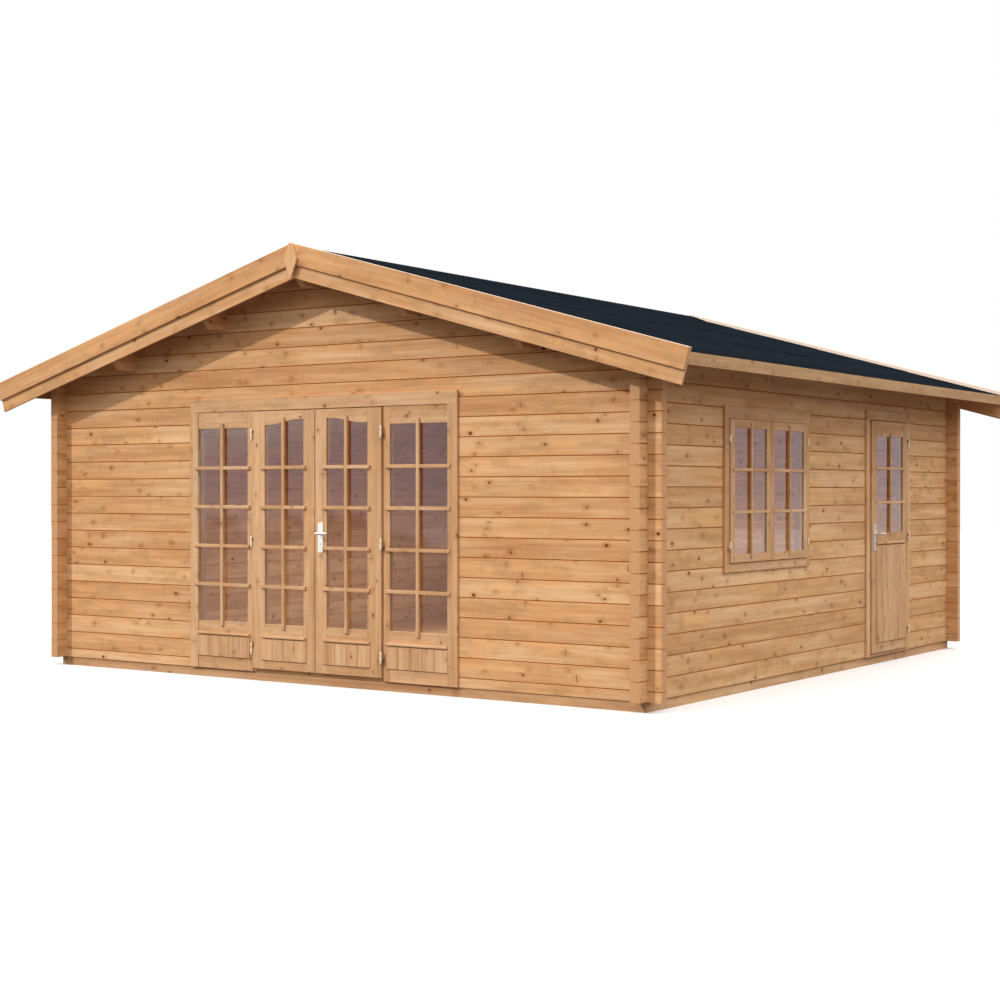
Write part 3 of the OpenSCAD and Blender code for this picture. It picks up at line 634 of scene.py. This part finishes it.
def paint(material, *names, edge=0.0):
    """Gives CAD nodes a material, and planed edges if edge is set."""
    for name in names:
        piece = nodes[name]
        for material_slot in piece.material_slots:
            material_slot.material = material
        if edge:
            weld = piece.modifiers.new("weld", "WELD")
            weld.merge_threshold = 0.01 * MM
            bevel = piece.modifiers.new("planed_edge", "BEVEL")
            bevel.width = edge
            bevel.segments = 2
            bevel.limit_method = "ANGLE"
            bevel.angle_limit = math.radians(35)
            bevel.harden_normals = False


# ---- logs, beams and roof boards ----

def finish_shell():
    """Wood on the logs, foundation, roof timbers and front sill."""
    paint(LOGS_X, "front_wall_left", "front_wall_right", "front_gable", "back_wall")
    paint(LOGS_Y, "left_wall", "right_wall_front", "right_wall_under_window", "right_wall_middle",
          "right_wall_back", "right_wall_top")
    paint(sawn_wood("beam_wood_x", 0, tone=0.6, palette=SEASONED), "base_beams_long", "floor_bearers",
          edge=EDGE)
    paint(sawn_wood("beam_wood_y", 1, tone=0.4, palette=SEASONED), "base_beams_side", edge=EDGE)
    paint(sawn_wood("purlin_wood", 1, start=7), "ridge_purlin", "purlins_left", "purlins_right",
          edge=BEAM_EDGE)
    # The fascias take the darker palette, as painted shade
    paint(sawn_wood("fascia_wood", 1, start=23, palette=SHADED_SPRUCE), "eave_fascia_left",
          "eave_fascia_right", edge=BEAM_EDGE)
    paint(sawn_wood("apex_wood", 2, start=31), "apex_blocks", edge=EDGE)
    paint(sawn_wood("sill_wood", 0, start=37), "front_sill", edge=EDGE)
    # Barge boards and covers carry a painted highlight on their top edges
    for side, tilt in (("left", -PITCH), ("right", PITCH)):
        for part, node, start in (("barge", "barge_boards_", 40), ("cover", "barge_covers_", 60)):
            wood = sawn_wood(f"{part}_wood_{side}", 0, tilt, start=start, highlit_top=True)
            paint(wood, node + side, edge=BEAM_EDGE)


def sloping(x0, x1, low, high):
    """Outline of a sheet on a slope between x0 and x1; low and high are its heights at the ridge."""
    points = [(x0, low - abs(x0) * FALL), (x1, low - abs(x1) * FALL),
              (x1, high - abs(x1) * FALL), (x0, high - abs(x0) * FALL)]
    return points if x1 > x0 else points[::-1]


def board_roof(side, hand):
    """Deck boards from the ridge to the eave."""
    low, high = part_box("roof_deck_" + side)
    eave = high.x if hand > 0 else low.x
    bench = Bench("roof_boards_" + side)
    count = round((high.y - low.y) / DECK_BOARD_W)
    width = (high.y - low.y) / count
    for i in range(count):
        y = low.y + i * width
        bench.board(sloping(0, eave, high.z - DECK_T * RISE, high.z), y, y + width,
                    grain=(math.cos(PITCH), -hand * math.sin(PITCH)), wide="y", edge=BEAM_EDGE)
    bench.done(PLANKS, "cabin", "board_wood", "roof_deck_" + side)


def felt_roof(side, hand):
    """Felt strips along the eave, each lapped over the one below it."""
    low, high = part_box("roof_felt_" + side)
    eave = abs(high.x if hand > 0 else low.x)
    bottom = high.z - FELT_T * RISE
    reach = STRIP_W * math.cos(PITCH)
    bench = Bench("felt_strips_" + side)
    start = eave
    step = 0.0
    while start > 0:
        top = max(start - reach, 0.0)
        under = [(hand * start, bottom + step - start * FALL), (hand * top, bottom - top * FALL)]
        over = [(x, z + STRIP_T * RISE) for x, z in reversed(under)]
        outline = under + over
        bench.board(outline if hand < 0 else outline[::-1], low.y, high.y, edge=FINE_EDGE)
        start -= reach - STRIP_LAP
        step = STRIP_T
    bench.done(FELT, "cabin", "roof_felt", "roof_felt_" + side)


def ridge_felt():
    """A strip of felt folded over the ridge, a little fuller at the top."""
    low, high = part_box("roof_felt_right")
    top = min(high.z + RIDGE_CREST, cad_box[1][2] - MM)
    foot = high.z - RIDGE_STRIP_W * FALL
    half = [(RIDGE_STRIP_W, foot - STRIP_T), (RIDGE_STRIP_W, foot + STRIP_T / 2),
            (RIDGE_ROUND_W, top - RIDGE_ROUND_H)]
    left = [(-x, z) for x, z in half]
    bench = Bench("ridge_felt")
    bench.board([left[0], (0, high.z - STRIP_T), *half, (0, top), left[2], left[1]], low.y, high.y,
                edge=FINE_EDGE)
    bench.done(FELT, "cabin", "roof_felt")


def board_floor():
    """Floor boards from front to back."""
    low, high = local_box("floor_boards", RIGHT)
    bench = Bench("floor_planks", RIGHT)
    count = round((high.y - low.y) / FLOOR_BOARD_W)
    width = (high.y - low.y) / count
    for i in range(count):
        y = low.y + i * width
        bench.board(rectangle(low.x, high.x, low.z, high.z), y, y + width, wide="y", edge=1.2 * MM)
    bench.done(PLANKS, "cabin", "board_wood", "floor_boards")


# ---- joinery ----

STOP_W = 15 * MM
STOP_FACE = 15 * MM         # a door stop's distance behind the logs' face
SASH_SEAT = 10 * MM         # a sash stop's distance behind the logs' face
DOOR_GAP = 7 * MM
SASH_GAP = 3 * MM
SILL_T = 20 * MM
CASING_T = 18 * MM
HEAD_JAMB_T = 34 * MM       # over the side door
JAMB_EDGE = 0.7 * MM
ARCH_RISE = 37 * MM
ARCH_STEPS = 24
ARCH_LEVEL = 0.12           # share of the rail that stays level at each end of the sweep
BAR = (26 * MM, 16 * MM)    # glazing bars: width and height over the frame
SLIM_BAR = (22 * MM, 8 * MM)  # those of the side wall
BAR_EDGE = 2.5 * MM
BAR_SHOULDER = 3 * MM       # of a bar's core behind its face
BAR_LAP_SIDE = 27 * MM
BAR_LAP_END = 35 * MM
FRONT_BARS = [273 * MM + 288.7 * MM * i for i in range(4)]    # heights over the pane's foot
SIDE_BARS = [244 * MM, 518 * MM]
BOARD_PROUD = 9 * MM        # boards of a door's foot
BOARD_LAP = 27 * MM
BOARD_GAP = 0.8 * MM
BOARD_EDGE = 3.5 * MM
FRONT_BOARD_DROP = 10 * MM  # from the rail over a foot down to its boards
SIDE_BOARD_DROP = 6 * MM
FRONT_FOOT = (WALL_FOOT + 90 * MM, WALL_FOOT + 256 * MM)      # between the rails under the panes
SIDE_FOOT = (WALL_FOOT + 107 * MM, WALL_FOOT + 895 * MM)
MOULDING_H = 21 * MM
MOULDING_PROUD = 16 * MM
MOULDING_EDGE = 5 * MM
MOULDING_EASE = 4 * MM      # of its ends inside the boards, and of its foot under a front rail
RECESS = 14 * MM            # of a foot's back behind the rails


def arched_rail(x0, x1, z_left, z_right, top):
    """Outline of a top rail whose lower edge sweeps from one height to the other."""
    sweep = []
    for i in range(ARCH_STEPS + 1):
        t = i / ARCH_STEPS
        turn = min(max((t - ARCH_LEVEL) / (1 - 2 * ARCH_LEVEL), 0.0), 1.0)
        share = (1 - math.cos(math.pi * turn)) / 2
        sweep.append((x0 + (x1 - x0) * t, z_left + (z_right - z_left) * share))
    return sweep + [(x1, top), (x0, top)]


def leaf_boards(bench, low, high, hole_low, hole_high, foot=None, stile_ends=(True, True), rise=(0, 0)):
    """Stiles, rails and foot of a door, side panel or sash. foot is the low and high of its boarded
    foot, and rise lifts the left and right end of the pane's head."""
    face, back = low.y, high.y
    left, right = hole_low.x, hole_high.x
    if stile_ends[0]:
        bench.beam(low.x, left, low.z, high.z, face, back)
    if stile_ends[1]:
        bench.beam(right, high.x, low.z, high.z, face, back)
    top = hole_high.z - max(rise)
    bench.board(arched_rail(left, right, top + rise[0], top + rise[1], high.z), face, back, edge=MM)
    if foot is None:
        bench.beam(left, right, low.z, hole_low.z, face, back)
        return
    bench.beam(left, right, foot[1], hole_low.z, face, back)
    bench.beam(left, right, low.z, foot[0], face, back)
    bench.beam(left, right, foot[0], foot[1], face + BOARD_PROUD, back - RECESS, grain=(0, 1))


def kick_boards(bench, x0, x1, z0, z1, face, count):
    """Upright tongued boards on the face of a door's foot."""
    width = (x1 - x0) / count
    for i in range(count):
        left = x0 + i * width
        bench.beam(left + BOARD_GAP / 2, left + width - BOARD_GAP / 2, z0, z1, face - BOARD_PROUD,
                   face + BOARD_PROUD, grain=(0, 1), edge=BOARD_EDGE)


def glazing_bars(bench, hole_low, hole_high, face, heights, size, rise=0.0):
    """One upright bar, and level bars on each side of it at heights over the pane's foot. They lap
    over the leaf's face, and a narrower core fills them up to the pane."""
    front, pane = face - size[1], hole_low.y
    middle = (hole_low.x + hole_high.x) / 2
    half = size[0] / 2
    core = half - BAR_SHOULDER
    top = hole_high.z - rise / 2
    bench.beam(middle - half, middle + half, hole_low.z - BAR_LAP_END, top + BAR_LAP_END, front, face,
               edge=BAR_EDGE)
    bench.beam(middle - core, middle + core, hole_low.z, top, face, pane, edge=FINE_EDGE)
    left, right = hole_low.x, hole_high.x
    for z in [hole_low.z + height for height in heights]:
        for x0, x1 in ((left - BAR_LAP_SIDE, middle - half), (middle + half, right + BAR_LAP_SIDE)):
            bench.beam(x0, x1, z - half, z + half, front, face, edge=BAR_EDGE)
        for x0, x1 in ((left, middle - core), (middle + core, right)):
            bench.beam(x0, x1, z - core, z + core, face, pane, edge=FINE_EDGE)


def foot_moulding(bench, x0, x1, z, face):
    """Drip moulding along the lower edge of a middle rail."""
    bench.beam(x0, x1, z, z + MOULDING_H, face - MOULDING_PROUD, face, edge=MOULDING_EDGE)


def build_front_door(side, hand):
    """Leaf and bars of a front door; hand is 1 where its lock side is on the right."""
    body = "front_door_" + side
    low, high = local_box(body)
    hole_low, hole_high = pane_opening("front_glass_" + side, FRONT)
    rise = (0, ARCH_RISE) if hand > 0 else (ARCH_RISE, 0)
    bench = Bench("front_leaf_" + side)
    leaf_boards(bench, low, high, hole_low, hole_high, FRONT_FOOT, rise=rise)
    x0, x1 = hole_low.x - BOARD_LAP, hole_high.x + BOARD_LAP
    kick_boards(bench, x0, x1, FRONT_FOOT[0], FRONT_FOOT[1] - FRONT_BOARD_DROP, low.y, 4)
    foot_moulding(bench, x0 + MOULDING_EASE, x1 - MOULDING_EASE, FRONT_FOOT[1] - MOULDING_EASE, low.y)
    bench.done(JOINERY, body, "joinery_wood", body)
    bars = Bench("front_bars_" + side)
    glazing_bars(bars, hole_low, hole_high, low.y, FRONT_BARS, BAR, ARCH_RISE)
    bars.done(JOINERY, body, "joinery_wood")


def build_side_panel(side, hand):
    """A fixed panel beside the front doors; hand is 1 where its stile is on the right."""
    node = "side_panel_" + side
    low, high = local_box(node)
    hole_low, hole_high = pane_opening("side_panel_glass", FRONT, -hand)
    if hand > 0:
        hole_low.x = low.x
        stop = (high.x - STOP_W, high.x)
        high.x -= STOP_W
        boards = (low.x, hole_high.x + BOARD_LAP)
    else:
        hole_high.x = high.x
        stop = (low.x, low.x + STOP_W)
        low.x += STOP_W
        boards = (hole_low.x - BOARD_LAP, high.x)
    bench = Bench("side_panel_boards_" + side)
    leaf_boards(bench, low, high, hole_low, hole_high, FRONT_FOOT, stile_ends=(hand < 0, hand > 0))
    bench.beam(*stop, low.z + SILL_T, high.z, -WALL_FACE + STOP_FACE, high.y, edge=MM)
    kick_boards(bench, *boards, FRONT_FOOT[0], FRONT_FOOT[1] - FRONT_BOARD_DROP, low.y, 5)
    foot_moulding(bench, *boards, FRONT_FOOT[1] - MOULDING_EASE, low.y)
    bench.done(JOINERY, "cabin", "joinery_wood", node)
    bars = Bench("side_panel_bars_" + side)
    glazing_bars(bars, hole_low, hole_high, low.y, FRONT_BARS, BAR)
    bars.done(JOINERY, "cabin", "joinery_wood")


def frame_boards(bench, casing, inside, hole, stop_face, doorway=False):
    """Casing, jambs and stops of an opening; casing, inside and hole are (x0, x1, z0, z1). In a
    doorway a sill as deep as the casing closes the foot, in place of a fourth casing and stop."""
    x0, x1, z0, z1 = inside
    left, right, low, high = casing
    face = -WALL_FACE
    front, back = face - CASING_T, face + LOG_T
    boards = [(left, x0, low, z1), (x1, right, low, z1), (left, right, z1, high)]
    boards += [] if doorway else [(x0, x1, low, z0)]
    for board in boards:
        bench.beam(*board, front, face)
    for board in ((hole[0], x0, *hole[2:]), (x1, hole[1], *hole[2:]), (x0, x1, z1, hole[3])):
        bench.beam(*board, face, back, edge=JAMB_EDGE)
    bench.beam(x0, x1, hole[2], z0, front if doorway else face, back, edge=JAMB_EDGE)
    s0, s1 = x0 + STOP_W, x1 - STOP_W
    stops = [(x0, s0, z0, z1), (s1, x1, z0, z1), (s0, s1, z1 - STOP_W, z1)]
    stops += [] if doorway else [(s0, s1, z0, z0 + STOP_W)]
    for board in stops:
        bench.beam(*board, face + stop_face, back, edge=MM)


def build_front_frame():
    """Casing, jambs, lintel and head stop round the doors and side panels."""
    low, high = local_box("front_door_frame")
    panel_low, panel_high = local_box("side_panel_left")
    inside, way, head = -panel_low.x, -panel_high.x, panel_high.z
    hole = -local_box("front_wall_left")[1].x
    top = local_box("front_gable")[0].z
    face = -WALL_FACE
    bench = Bench("front_frame_boards")
    for x0, x1 in ((-high.x, -inside), (inside, high.x)):
        bench.beam(x0, x1, low.z, head, low.y, face)
    bench.beam(-high.x, high.x, head, high.z, low.y, face)
    for x0, x1 in ((-hole, -inside), (inside, hole)):
        bench.beam(x0, x1, low.z, top, face, high.y, edge=JAMB_EDGE)
    bench.beam(-inside, inside, head, top, face, high.y, edge=JAMB_EDGE)
    bench.beam(-way, way, head - STOP_W, head, face + STOP_FACE, high.y, edge=MM)
    bench.done(JOINERY, "cabin", "joinery_wood", "front_door_frame")


def span(node):
    """Left, right, foot and head of a node of the right wall, in that wall's frame."""
    low, high = local_box(node, RIGHT)
    return low.x, high.x, low.z, high.z


def build_window():
    """Casing and jambs of the side window, and its two sashes with their bars."""
    sashes = span("window_sashes")
    inside = [value + gap for value, gap in zip(sashes, (-SASH_GAP, SASH_GAP, -SASH_GAP, SASH_GAP))]
    wall = span("right_wall_under_window")
    hole = (wall[0], wall[1], wall[3], span("right_wall_top")[2])
    bench = Bench("window_frame_boards", RIGHT)
    frame_boards(bench, span("window_frame"), inside, hole, SASH_SEAT)
    bench.done(JOINERY, "cabin", "joinery_wood", "window_frame")
    middle = (sashes[0] + sashes[1]) / 2
    bench = Bench("window_sash_boards", RIGHT)
    bars = Bench("window_bars", RIGHT)
    for side in (-1, 1):
        low, high = local_box("window_sashes", RIGHT, side, middle)
        hole_low, hole_high = pane_opening("window_glass", RIGHT, side, middle)
        leaf_boards(bench, low, high, hole_low, hole_high)
        third = (hole_high.z - hole_low.z) / 3
        glazing_bars(bars, hole_low, hole_high, low.y, [third, 2 * third], SLIM_BAR)
    bench.done(JOINERY, "cabin", "joinery_wood", "window_sashes")
    bars.done(JOINERY, "cabin", "joinery_wood")


def build_side_door():
    """Frame and leaf of the side door, with its bars and boarded foot."""
    low, high = local_box("side_door", RIGHT)
    head = high.z + DOOR_GAP
    inside = (low.x - DOOR_GAP, high.x + DOOR_GAP, WALL_FOOT + SILL_T, head)
    hole = (span("right_wall_middle")[1], span("right_wall_back")[0], WALL_FOOT, head + HEAD_JAMB_T)
    bench = Bench("side_door_frame_boards", RIGHT)
    frame_boards(bench, span("side_door_frame"), inside, hole, STOP_FACE, doorway=True)
    bench.done(JOINERY, "cabin", "joinery_wood", "side_door_frame")
    hole_low, hole_high = pane_opening("side_door_glass", RIGHT)
    bench = Bench("side_door_boards", RIGHT)
    leaf_boards(bench, low, high, hole_low, hole_high, SIDE_FOOT)
    x0, x1 = hole_low.x - BOARD_LAP, hole_high.x + BOARD_LAP
    kick_boards(bench, x0, x1, SIDE_FOOT[0], SIDE_FOOT[1] - SIDE_BOARD_DROP, low.y, 5)
    foot_moulding(bench, x0 + MOULDING_EASE, x1 - MOULDING_EASE, SIDE_FOOT[1], low.y)
    bench.done(JOINERY, "side_door", "joinery_wood", "side_door")
    bars = Bench("side_door_bars", RIGHT)
    glazing_bars(bars, hole_low, hole_high, low.y, SIDE_BARS, SLIM_BAR)
    bars.done(JOINERY, "side_door", "joinery_wood")


# ---- hardware ----

PLATE_CORNER = 11 * MM
SCREW_REACH = 90 * MM       # of a lock plate's screws from its middle
SCREW_R = 5 * MM
ROSE_DROP = 43 * MM         # of the keyhole's rose under the plate's middle
ROSE_R = 9 * MM
KEYHOLE_TOP = 40 * MM
KEYHOLE_FOOT = 50 * MM
KEYHOLE_R = 2.6 * MM
SLOT_W = 2.2 * MM
PLATE_EDGE = 2 * MM
KEYHOLE_EDGE = 0.2 * MM
SCREW_PROUD = 1.2 * MM      # over the plate, like the two below
ROSE_PROUD = 2 * MM
KEYHOLE_PROUD = 2.3 * MM
WINDOW_BARREL = (6 * MM, 48 * MM)    # radius and length
BARREL_CAP = 2 * MM
LEAF_T = 4 * MM
WINDOW_HINGES = {"low": WALL_FOOT + 953 * MM, "high": WALL_FOOT + 1680 * MM}


def rounded(x, z, width, height, radius, steps=6):
    """Outline of an upright plate with rounded corners, about its middle."""
    outline = []
    for corner, (sx, sz) in enumerate(((1, 1), (-1, 1), (-1, -1), (1, -1))):
        for i in range(steps + 1):
            turn = math.pi / 2 * (corner + i / steps)
            outline.append((x + sx * (width / 2 - radius) + radius * math.cos(turn),
                            z + sz * (height / 2 - radius) + radius * math.sin(turn)))
    return outline


def disc(x, z, radius, steps=16):
    """Outline of a round plate."""
    return [(x + radius * math.cos(math.tau * i / steps), z + radius * math.sin(math.tau * i / steps))
            for i in range(steps)]


def handle(name, node, turn, body):
    """Lock plate with rounded corners, its screws, and a keyhole under the lever, drawn as a dark shape of
    painted shade.
    """
    low, high = local_box(node, turn)
    x, z = (low.x + high.x) / 2, (low.z + high.z) / 2
    plate = Bench(name + "_plate", turn)
    outline = rounded(x, z, high.x - low.x, high.z - low.z, PLATE_CORNER)
    plate.board(outline, low.y, high.y, edge=PLATE_EDGE)
    for reach in (-SCREW_REACH, SCREW_REACH):
        plate.board(disc(x, z + reach, SCREW_R), low.y - SCREW_PROUD, low.y + MM, edge=MM)
    plate.board(disc(x, z - ROSE_DROP, ROSE_R, 24), low.y - ROSE_PROUD, low.y + MM, edge=MM)
    plate.done(SILVER, body, "metal", node)
    # The keyhole stands proud of the plate as a dark shape: painted shade where a hole would be
    hole = Bench(name + "_keyhole", turn)
    slot = rectangle(x - SLOT_W / 2, x + SLOT_W / 2, z - KEYHOLE_FOOT, z - KEYHOLE_TOP)
    for outline in (disc(x, z - KEYHOLE_TOP, KEYHOLE_R), slot):
        hole.board(outline, low.y - KEYHOLE_PROUD, low.y, edge=KEYHOLE_EDGE)
    hole.done(HOLE_SHADE, body, "metal")


def turned_bar(name, profile, centre, turn, body, steps=20):
    """A bar turned about an upright axis; profile lists radius and height from its foot up."""
    points = [turn @ Vector((centre[0] + r * math.cos(math.tau * i / steps),
                             centre[1] + r * math.sin(math.tau * i / steps), centre[2] + z))
              for r, z in profile for i in range(steps)]
    faces = [[a * steps + i, a * steps + (i + 1) % steps, (a + 1) * steps + (i + 1) % steps,
              (a + 1) * steps + i] for a in range(len(profile) - 1) for i in range(steps)]
    faces.append(list(reversed(range(steps))))
    faces.append([(len(profile) - 1) * steps + i for i in range(steps)])
    mesh = bpy.data.meshes.new(name)
    mesh.from_pydata(points, [], faces)
    mesh.polygons.foreach_set("use_smooth", [len(f) == 4 for f in faces])
    return ride_piece(name, mesh, NICKEL, body, "metal")


def window_hinges():
    """Small barrel hinges beside the sashes, each on a leaf that stands on the casing."""
    low, high = local_box("window_sashes", RIGHT)
    r, h = WINDOW_BARREL
    upper = [(0.85 * r, 0), (r, MM), (r, h / 2), (0.6 * r, h / 2 + BARREL_CAP)]
    profile = [(radius, -z) for radius, z in reversed(upper[1:])] + upper
    casing = local_box("window_frame", RIGHT)[0].y
    leaves = Bench("window_hinge_leaves", RIGHT)
    for end, x in (("front", low.x - SASH_GAP - r), ("back", high.x + SASH_GAP + r)):
        for level, z in WINDOW_HINGES.items():
            turned_bar(f"window_hinge_{end}_{level}", profile, (x, low.y - r / 2, z), RIGHT, "cabin")
            leaves.beam(x - LEAF_T / 2, x + LEAF_T / 2, z - 0.4 * h, z + 0.4 * h, low.y, casing,
                        edge=FINE_EDGE)
    leaves.done(NICKEL, "cabin", "metal")


def finish_hardware():
    """Metal, glass, lock plates and the window's hinges."""
    paint(SILVER, "front_lever", "side_lever", edge=METAL_EDGE)
    paint(NICKEL, "front_hinge_pins", "front_barrels_left", "front_barrels_right", "side_hinge_pins",
          "side_barrels", edge=METAL_EDGE)
    paint(GLASS, "side_panel_glass", "front_glass_left", "front_glass_right", "window_glass",
          "side_door_glass")
    handle("front_handle", "front_handle_plate", FRONT, "front_door_right")
    handle("side_handle", "side_handle_plate", RIGHT, "side_door")
    window_hinges()


# ---- stage, light and camera ----

SUN_WAY = Vector((0.407, 0.714, -0.569))
FLOOR_REACH = 45.0
CAMERA_PLACE = (7.991, -12.040, 1.389)
CAMERA_TILT = math.radians(89.709)
CAMERA_TURN = math.radians(34.46)


def grey(level):
    return (level, level, level, 1.0)


def plainly_seen(g):
    """1 for what the camera sees, also through panes."""
    path = g.add("LightPath").outputs
    straight = g.math("LESS_THAN", path["Diffuse Depth"], 0.5)
    through = g.times(path["Is Transmission Ray"], straight)
    return g.math("MAXIMUM", path["Is Camera Ray"], through)


def set_stage():
    """A pale floor that hides from mirrors, so that panes show the sky and the dark land."""
    mesh = bpy.data.meshes.new("floor")
    corners = rectangle(-FLOOR_REACH, FLOOR_REACH, -FLOOR_REACH, FLOOR_REACH)
    mesh.from_pydata([(x, y, 0) for x, y in corners], [], [(0, 1, 2, 3)])
    floor = put("floor", mesh)
    material, g, surface, output = new_material("pale_floor")
    # Pale to the camera, but dark enough to throw little light up at the walls
    seen = plainly_seen(g)
    g.feed(g.mix(seen, grey(0.13), grey(0.86)), surface.inputs["Base Color"])
    surface.inputs["Roughness"].default_value = 0.9
    surface.inputs["Specular IOR Level"].default_value = 0.0
    glow = g.add("Emission", {"Strength": g.times(seen, 0.12)}).outputs[0]
    g.feed(g.add("AddShader", {0: surface.outputs[0], 1: glow}).outputs[0], output.inputs["Surface"])
    mesh.materials.append(material)
    floor.visible_glossy = False


def set_world():
    """White to the camera, soft daylight on surfaces, and a sky over dark trees in mirrors."""
    world = bpy.data.worlds.new("daylight")
    bpy.context.scene.world = world
    world.use_nodes = True
    world.node_tree.nodes.clear()
    g = Graph(world.node_tree)
    way = g.add("TexCoord").outputs["Generated"]
    east, _, height = g.split(way)

    # Mirrored: trees up to an uneven skyline, under one sky at the front and one on the right
    side = g.ramp(east, -0.2, 0.2)
    trees = g.noise(way, (70.0, 70.0, 9.0), 4.0, 0.65)
    skyline = g.scaled(trees, 0.045, g.scaled(side, -0.019, -0.042))
    skyline = g.scaled(g.ramp(east, -0.625, -0.585), -0.013, skyline)
    above = g.ramp(g.minus(height, skyline), -0.003, 0.006)
    clouds = g.noise(way, (6.0, 6.0, 22.0), 3.0, 0.5)
    rise = g.scaled(g.minus(clouds, 0.5), 0.03, height)
    front = g.mix(g.ramp(rise, -0.02, 0.015), (1.60, 1.45, 1.45, 1.0), (1.12, 1.30, 1.58, 1.0))
    bright = g.ramp(g.scaled(east, -0.25, g.plus(rise, -0.155)), 0.03, 0.06)
    front = g.mix(bright, front, (2.0, 2.4, 2.35, 1.0))
    right = g.mix(g.ramp(rise, -0.02, 0.03), (1.0, 0.80, 0.75, 1.0), (0.47, 0.49, 0.63, 1.0))
    sky = g.mix(g.ramp(height, 0.08, 0.25), g.mix(side, front, right), (1.25, 1.20, 1.10, 1.0))
    mirror = g.mix(above, (0.12, 0.07, 0.05, 1.0), sky)

    # Daylight on surfaces, stronger from the right and from higher up, and warmer near the ground
    clear = g.ramp(height, 0.0, 0.5)
    level = g.plus(g.times(g.scaled(east, 0.76, 0.87), g.scaled(clear, 0.55, 0.45)), height)
    green = g.times(level, g.scaled(clear, 0.07, 0.93))
    haze = g.join(level, green, g.times(level, g.scaled(clear, 0.15, 0.85)))
    light = g.mix(g.ramp(height, -0.02, 0.02), (0.12, 0.11, 0.10, 1.0), haze)

    colour = g.mix(g.add("LightPath").outputs["Is Glossy Ray"], light, mirror)
    colour = g.mix(plainly_seen(g), colour, WHITE)
    background = g.add("Background", {"Color": colour, "Strength": 1.0}).outputs[0]
    g.add("OutputWorld", {"Surface": background})


def set_lamps():
    """The sun from the front left, and a broad lamp that lights the lower half of the room."""
    lamp = bpy.data.lights.new("sun", "SUN")
    lamp.energy = 1.7
    lamp.angle = math.radians(1.2)
    lamp.color = (1.0, 0.975, 0.95)
    put("sun", lamp).rotation_euler = SUN_WAY.to_track_quat("-Z", "Y").to_euler()
    lamp = bpy.data.lights.new("room_lamp", "AREA")
    lamp.energy = 58.0
    lamp.size = 3.0
    lamp.color = (0.95, 1.0, 1.0)
    room = put("room_lamp", lamp)
    room.location = (0.0, 0.0, 1.4)
    room.visible_camera = room.visible_glossy = room.visible_transmission = False


def set_camera():
    """A view of the front and the right side, from a little under eye height."""
    lens = bpy.data.cameras.new("camera")
    lens.lens = 61.57
    lens.sensor_width = 36.0
    lens.clip_end = 200.0
    camera = put("camera", lens)
    camera.location = CAMERA_PLACE
    camera.rotation_euler = (CAMERA_TILT, 0.0, CAMERA_TURN)
    bpy.context.scene.camera = camera


bpy.context.scene.view_settings.view_transform = "Standard"
set_camera()
set_stage()
set_world()
set_lamps()
finish_shell()
for side, hand in (("left", -1), ("right", 1)):
    board_roof(side, hand)
    felt_roof(side, hand)
    build_front_door(side, -hand)
    build_side_panel(side, -hand)
ridge_felt()
board_floor()
build_front_frame()
build_window()
build_side_door()
finish_hardware()
